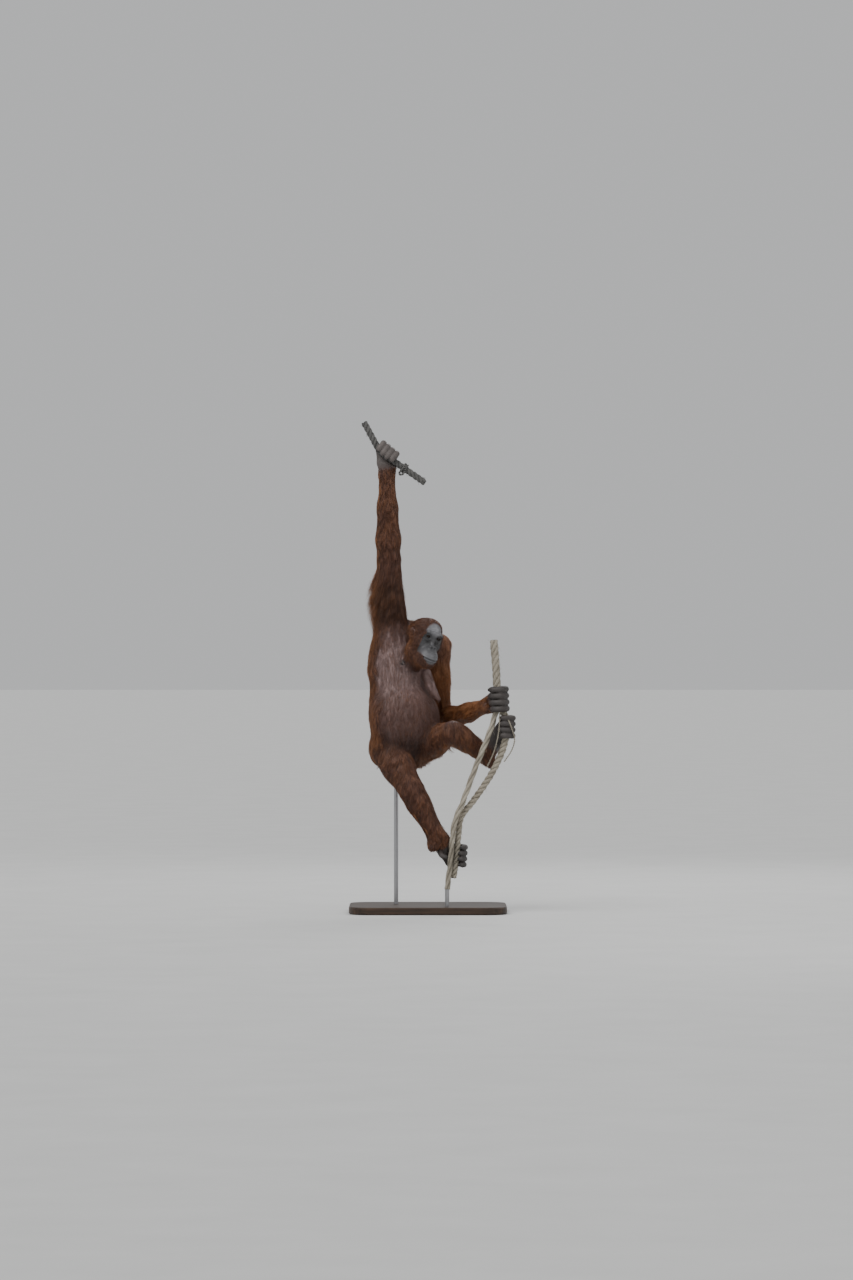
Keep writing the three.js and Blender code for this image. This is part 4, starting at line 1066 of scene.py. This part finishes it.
def skin_material():
    s = Shader("skin")
    bare, on_face, _ = s.channels("zone")
    hair_lines = s.noise(1.0, 3, 0.7, s.stretched((700, 700, 60)))
    fine = s.noise(260, 5)
    pores, creases = s.cells(420), s.cells(150)
    mottling = s.ramp(s.noise(38, 6), (0.3, 0.55), (0.75, 1.25))
    mottled = s.mixed(s.attribute("tone"), mottling, 0.55, "MULTIPLY")
    strands = s.ramp(hair_lines, (0.38, 0.62), (0.66, 1.35))
    coloured = s.mixed(mottled, strands, s.ranged(0.75, bare, -0.75), "MULTIPLY")
    normal = s.bump(fine, 0.35, 0.0012)
    normal = s.bump(pores, 0.25, 0.0008, Normal=normal)
    normal = s.bump(s.math("MULTIPLY", creases, bare), 0.5, 0.0012, Normal=normal)
    haired = s.math("SUBTRACT", 1.0, bare)
    normal = s.bump(s.math("MULTIPLY", hair_lines, haired), 0.5, 0.0012, Normal=normal)
    rough = s.ranged(s.ranged(0.5, fine, 0.22), on_face, -0.16)
    return s.give(coloured, rough, normal, specular_ior_level=0.45)


def hair_material():
    s = Shader("hair")
    streak = s.ramp(s.noise(1.0, 3, 0.7, s.stretched((900, 900, 90))), (0.35, 0.68), (0.7, 1.28))
    coloured = s.mixed(s.attribute("tone"), streak, 0.8, "MULTIPLY")
    normal = s.bump(s.noise(1500, 2), 0.25, 0.0004)
    return s.give(coloured, s.ranged(0.42, s.noise(300, 2), 0.2), normal, specular_ior_level=0.45)


def eye_material():
    s = Shader("eye")
    rays = s.noise(900, 3)
    iris = s.ramp(
        s.ranged(s.channels("gaze")[0], rays, 0.03),
        (0.0, (0.002, 0.002, 0.002)), (0.17, (0.002, 0.002, 0.002)), (0.2, (0.04, 0.016, 0.007)),
        (0.36, (0.022, 0.010, 0.005)), (0.42, (0.006, 0.004, 0.003)), (0.6, (0.02, 0.013, 0.011)),
    )
    return s.give(iris, 0.16, s.bump(rays, 0.05, 0.0003), specular_ior_level=0.22)


def nail_material():
    s = Shader("nail")
    ridges = s.noise(1.0, 3, 0.6, s.stretched((900, 900, 140)))
    colour = s.ramp(ridges, (0.3, (0.010, 0.009, 0.009)), (0.75, (0.035, 0.030, 0.028)))
    return s.give(colour, 0.35, s.bump(ridges, 0.3, 0.0004), specular_ior_level=0.5)


def rope_material(name, dark, light, tip):
    s = Shader(name)
    fibres = s.noise(1.0, 5, 0.75, s.stretched((520, 520, 130), (0.3, 0.5, 0.0)))
    patches = s.ramp(s.noise(16, 5), (0.3, dark), (0.8, tip))
    colour = s.mixed(s.ramp(fibres, (0.3, dark), (0.72, light)), patches, 0.35)
    # Painted shade in the grooves between the strands, from the shade that laid_rope gives each point
    groove_shade = s.ramp(s.channels("tone")[0], (0.0, 0.35), (1.0, 1.1))
    colour = s.mixed(colour, groove_shade, 1.0, "MULTIPLY")
    rough, normal = s.ranged(0.72, fibres, 0.2), s.bump(fibres, 0.8, 0.002)
    return s.give(colour, rough, normal, specular_ior_level=0.25)


def board_material():
    s = Shader("board")
    grain = s.noise(1.0, 6, 0.62, s.stretched((7, 90, 90)))
    rings = s.add("TexWave", wave_type="BANDS", bands_direction="Y", Scale=9, Distortion=6, Detail=3,
                  Vector=s.stretched((0.5, 1, 1))).outputs["Fac"]
    base = s.ramp(grain, (0.3, (0.018, 0.010, 0.006)), (0.75, (0.065, 0.036, 0.02)))
    colour = s.mixed(base, s.ramp(rings, (0.2, 0.7), (0.8, 1.2)), 0.6, "MULTIPLY")
    rough, normal = s.ranged(0.36, grain, 0.22), s.bump(grain, 0.25, 0.0012)
    return s.give(colour, rough, normal, specular_ior_level=0.4)


def rod_material():
    s = Shader("rod")
    brushed = s.noise(1.0, 4, 0.6, s.stretched((1400, 1400, 30)))
    colour = s.ramp(brushed, (0.3, (0.32, 0.32, 0.33)), (0.75, (0.46, 0.46, 0.47)))
    rough, normal = s.ranged(0.28, s.noise(22, 4), 0.22), s.bump(brushed, 0.12, 0.0004)
    return s.give(colour, rough, normal, metallic=1.0)


def floor_material():
    s = Shader("floor")
    return s.give(s.ramp(s.noise(3, 3), (0.3, (0.62, 0.62, 0.61)), (0.7, (0.66, 0.66, 0.65))), 0.7)


def wear(piece, material):
    piece.data.materials.clear()
    piece.data.materials.append(material)


wear(skin, skin_material())
hair_look = hair_material()
for piece in coat_pieces:
    wear(piece, hair_look)


def ring_faces(rings, sides):
    """The triangles over rings of points, which the two points after them close."""
    first, last = rings * sides, rings * sides + 1
    faces = []
    for i in range(sides):
        j = (i + 1) % sides
        for a in range(0, first - sides, sides):
            faces += [(a + i, a + j, a + j + sides), (a + i, a + j + sides, a + i + sides)]
        faces += [(first, j, i), (last, first - sides + i, first - sides + j)]
    return np.array(faces)


# Eyes, set where the solids have them
def eyeball(side, name):
    rings, sides, cornea_height = 26, 40, 0.07
    theta = np.repeat(np.linspace(0, np.pi, rings + 2)[1:-1], sides)
    phi = -np.tile(np.linspace(0, 2 * np.pi, sides, endpoint=False), rings)
    shape = np.stack([np.sin(theta) * np.cos(phi), -np.cos(theta), np.sin(theta) * np.sin(phi)], 1)
    shape = shape * (1 + cornea_height * smoothstep(theta, 0.5, 0.2))[:, None]
    shape = np.vstack([shape, [(0, -1 - cornea_height, 0), (0, 1, 0)]])
    points = shape * (EYE_RADIUS - 0.1) @ HEAD[0].T + placed(HEAD, side * EYE_AT[0], *EYE_AT[1:])
    piece = make_mesh(name + "_ball", points, ring_faces(rings, sides), "eye")
    paint(piece, "gaze", (np.append(theta, [0, np.pi]) / np.pi * 2)[:, None])
    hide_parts(name)
    return piece


eye_look = eye_material()
for side, name in ((-1, "eye_right"), (1, "eye_left")):
    wear(eyeball(side, name), eye_look)


# Ropes: strands laid round each other, with loose fibres
def tube(line, radii, sides):
    """Points and triangles of a closed tube."""
    ahead = unit(np.gradient(line, axis=0))
    side = unit(np.cross(ahead[0], vec(0.2, 1, 0.1)))
    normals = []
    for direction in ahead:
        side = unit(side - direction * (side @ direction))
        normals.append(side)
    normals = np.array(normals)
    binormals = np.cross(ahead, normals)
    angle = np.linspace(0, 2 * np.pi, sides, endpoint=False)
    radii = np.broadcast_to(radii[:, None], (len(line), sides))
    ring = (
        line[:, None]
        + normals[:, None] * (radii * np.cos(angle))[..., None]
        + binormals[:, None] * (radii * np.sin(angle))[..., None]
    )
    return np.vstack([ring.reshape(-1, 3), line[0], line[-1]]), ring_faces(len(line), sides)


def joined(parts):
    """One mesh from several: points, faces, and whatever else there is for each point."""
    points, faces, *others = zip(*parts)
    starts = np.cumsum([0] + [len(p) for p in points])
    faces = np.vstack([f + start for f, start in zip(faces, starts)])
    return np.vstack(points), faces, *map(np.concatenate, others)


STRAND_SIDES = 9
FIBRE_POINTS = 5


def laid_rope(line, radius, lay, strands=3, end=1.0, fibres=0):
    """Strands wound round a line, and loose fibres that stand off it. The third result is the shade."""
    count = len(line)
    s = np.concatenate([[0], np.cumsum(np.linalg.norm(np.diff(line, axis=0), axis=1))])
    ahead = unit(np.gradient(line, axis=0))
    side = unit(np.cross(ahead, vec(0.2, 1, 0.1)))
    up = np.cross(ahead, side)
    size = radius * np.linspace(1, end, count)
    thickness = 0.53 if strands == 3 else 0.5
    parts = []
    for strand in range(strands):
        turn = 2 * np.pi * (strand / strands + s / lay)
        offset = side * np.cos(turn)[:, None] + up * np.sin(turn)[:, None]
        centre = line + offset * (size * (1 - thickness))[:, None]
        points, faces = tube(centre, size * thickness, STRAND_SIDES)
        rings = points[: count * STRAND_SIDES].reshape(count, STRAND_SIDES, 3)
        reach = np.linalg.norm(rings - line[:, None], axis=2) / size[:, None]
        parts.append((points, faces, np.append(np.clip((reach - 0.25) / 0.7, 0, 1), [0.5, 0.5])))
    for _ in range(fibres):
        at = rng.integers(2, count - 2)
        turn = rng.uniform(0, 2 * np.pi)
        out = side[at] * np.cos(turn) + up[at] * np.sin(turn)
        way = ahead[at] * rng.choice([-1, 1]) * rng.uniform(0.6, 1.6)
        way = unit(way + out * rng.uniform(0.3, 0.9))
        reach = rng.uniform(6, 20)
        droop = DOWN * reach * rng.uniform(0, 0.35)
        t = np.linspace(0, 1, FIBRE_POINTS)[:, None]
        path = line[at] + out * size[at] * 0.85 + way * reach * t + droop * t**2
        points, faces = tube(path, np.linspace(0.55, 0.12, FIBRE_POINTS), 3)
        parts.append((points, faces, np.full(len(points), 0.95)))
    return joined(parts)


ROPE_COLOURS = {
    "pale_rope": ((0.13, 0.11, 0.085), (0.50, 0.45, 0.36), (0.62, 0.57, 0.47)),
    "dark_rope": ((0.030, 0.030, 0.031), (0.19, 0.185, 0.175), (0.26, 0.25, 0.235)),
}
ROPE_LOOK = {name: rope_material(name, *colours) for name, colours in ROPE_COLOURS.items()}


def rope_piece(name, slot, *parts):
    """A piece of laid ropes, which stands for the perch of its name."""
    points, faces, shades = joined(parts)
    piece = make_mesh(name, points, faces, slot)
    paint(piece, "tone", shades[:, None])
    wear(piece, ROPE_LOOK[slot])
    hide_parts("perch_" + name)


def along(name, count):
    return curve_points(ROPE[name], count)


rope_piece("rope_high", "dark_rope", laid_rope(along("rope_high", 150), 14.4, 62, fibres=130))
rope_piece("rope_upper", "pale_rope", laid_rope(along("rope_upper", 110), 17, 120, 4, fibres=180))
rope_piece("rope_straight", "pale_rope", laid_rope(along("rope_straight", 240), 12.2, 210, fibres=200))

# Two yarns have worked loose beside the twisted rope
LOOSE_YARNS = [
    [
        (300, -166, 846), (330, -182, 818), (352, -188, 764),
        (361, -176, 727), (349, -160, 682), (318, -152, 634),
    ],
    [(300, -168, 842), (298, -178, 800), (292, -176, 742), (272, -162, 668), (246, -152, 612)],
]
rope_piece(
    "rope_twisted", "pale_rope",
    laid_rope(along("rope_twisted", 300), 15.2, 74, 3, 0.85, fibres=240),
    *[laid_rope(curve_points(yarn, 90), 3.0, 18, 2, fibres=24) for yarn in LOOSE_YARNS],
)

# The lashing: turns of thin cord round the high rope, and a loop that hangs from them
LASH_AT, LASH_TURNS, LASH_WIDTH, LASH_RADIUS = vec(-99, -101, 1860), 2.6, 16, 18.4
LASH_TAIL = [
    (-98, -123, 1866), (-112, -126, 1852), (-120, -124, 1836), (-110, -122, 1832), (-94, -122, 1846),
]
rope_axis = unit(vec(-14, 0, 1801) - vec(-134, 0, 1884))
forward = vec(0, 1, 0)
t = np.linspace(0, 1, 90)[:, None]
turn = 2 * np.pi * LASH_TURNS * t
round_rope = LASH_RADIUS * (forward * np.cos(turn) + np.cross(rope_axis, forward) * np.sin(turn))
wound = LASH_AT + rope_axis * ((t - 0.5) * LASH_WIDTH) + round_rope
loop = curve_points(LASH_TAIL, 40)
rope_piece("lashing", "dark_rope", laid_rope(wound, 4.4, 22, 2), laid_rope(loop, 4.6, 22, 2))


# Nails
def plate(rows, columns):
    """The faces of two grids of points, one over the other, joined round their rim."""
    n = rows * columns
    faces = []
    for r in range(rows - 1):
        for c in range(columns - 1):
            a = r * columns + c
            b, d, e = a + 1, a + columns, a + columns + 1
            faces += [(a, b, e), (a, e, d), (n + a, n + e, n + b), (n + a, n + d, n + e)]
    grid = np.arange(n).reshape(rows, columns)
    rim = [*grid[0], *grid[1:, -1], *grid[-1, -2::-1], *grid[-2:0:-1, 0]]
    for a, b in zip(rim, rim[1:] + rim[:1]):
        faces += [(a, n + a, n + b), (a, n + b, b)]
    return np.array(faces)


def nails(rows=7, columns=9, thickness=1.1):
    """A thin curved plate on the end of each digit."""
    u, v = np.meshgrid(np.linspace(-1, 1, columns), np.linspace(0, 1, rows))
    u, v = u.reshape(-1, 1), v.reshape(-1, 1)
    faces, parts = plate(rows, columns), []
    for digits, _, _, _, _, thumb, thumb_radius in EXTREMITY.values():
        for points, radius in [*digits, (curve_points(thumb, 13), thumb_radius)]:
            tip, before, far = points[-1], points[-2], points[-4]
            ahead = unit(tip - before)
            bend = far + tip - 2 * before
            bend = unit(bend) if np.linalg.norm(bend) > 0.5 else -DOWN
            out = unit(-bend + ahead * (bend @ ahead))
            side = np.cross(ahead, out)
            top = tip + out * digit_radius(0.97, radius) * 0.72 + ahead
            size = radius * 0.62
            wide = size * 0.8 * (1 - 0.35 * (2 * v - 1) ** 4)
            curl = 0.9 - 1.2 * v * v - u * u * wide * 0.5
            outer = top + side * u * wide + ahead * (v - 0.55) * size * 1.5 + out * curl
            parts.append((np.vstack([outer, outer - out * thickness]), faces))
    return joined(parts)


wear(make_mesh("nails", *nails(), "bare_skin"), nail_material())

# Stand
board, steel = board_material(), rod_material()
for name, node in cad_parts.items():
    if name.startswith("stand_"):
        wear(node, board if name == "stand_base" else steel)

# Floor, lights and camera
bpy.ops.mesh.primitive_plane_add(size=200, location=(0, 0, -0.001))
floor = bpy.context.object
floor.name = "floor"
wear(floor, floor_material())
floor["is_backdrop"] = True


def put_in_scene(name, data, location, rotation):
    thing = bpy.data.objects.new(name, data)
    thing.location, thing.rotation_euler = location, rotation
    bpy.context.scene.collection.objects.link(thing)
    return thing


def area_light(name, location, size, power, target=(0, 0, 1.1)):
    data = bpy.data.lights.new(name, "AREA")
    data.shape, data.size, data.energy = "DISK", size, power
    aim = (Vector(target) - Vector(location)).to_track_quat("-Z", "Y").to_euler()
    put_in_scene(name, data, location, aim)


area_light("fill", (3.6, -3.2, 2.2), 3.0, 30)
area_light("rim", (1.2, 3.6, 3.8), 2.4, 60)
sun = bpy.data.lights.new("key", "SUN")
sun.energy, sun.angle = 1.9, 0.7
SUN_FROM = Vector((-1.9, -2.9, 4.4))
put_in_scene("key", sun, (0, 0, 0), SUN_FROM.to_track_quat("Z", "Y").to_euler())
world = bpy.data.worlds.new("studio")
world.use_nodes = True
background = world.node_tree.nodes["Background"]
background.inputs["Color"].default_value = (0.88, 0.89, 0.9, 1)
background.inputs["Strength"].default_value = 0.62
bpy.context.scene.world = world

CAMERA_AT = (-0.006, -22.4, 1.142)
camera = bpy.data.cameras.new("camera")
camera.lens, camera.sensor_width = 150, 36
bpy.context.scene.camera = put_in_scene("camera", camera, CAMERA_AT, (np.pi / 2, 0, 0))

low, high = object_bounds()
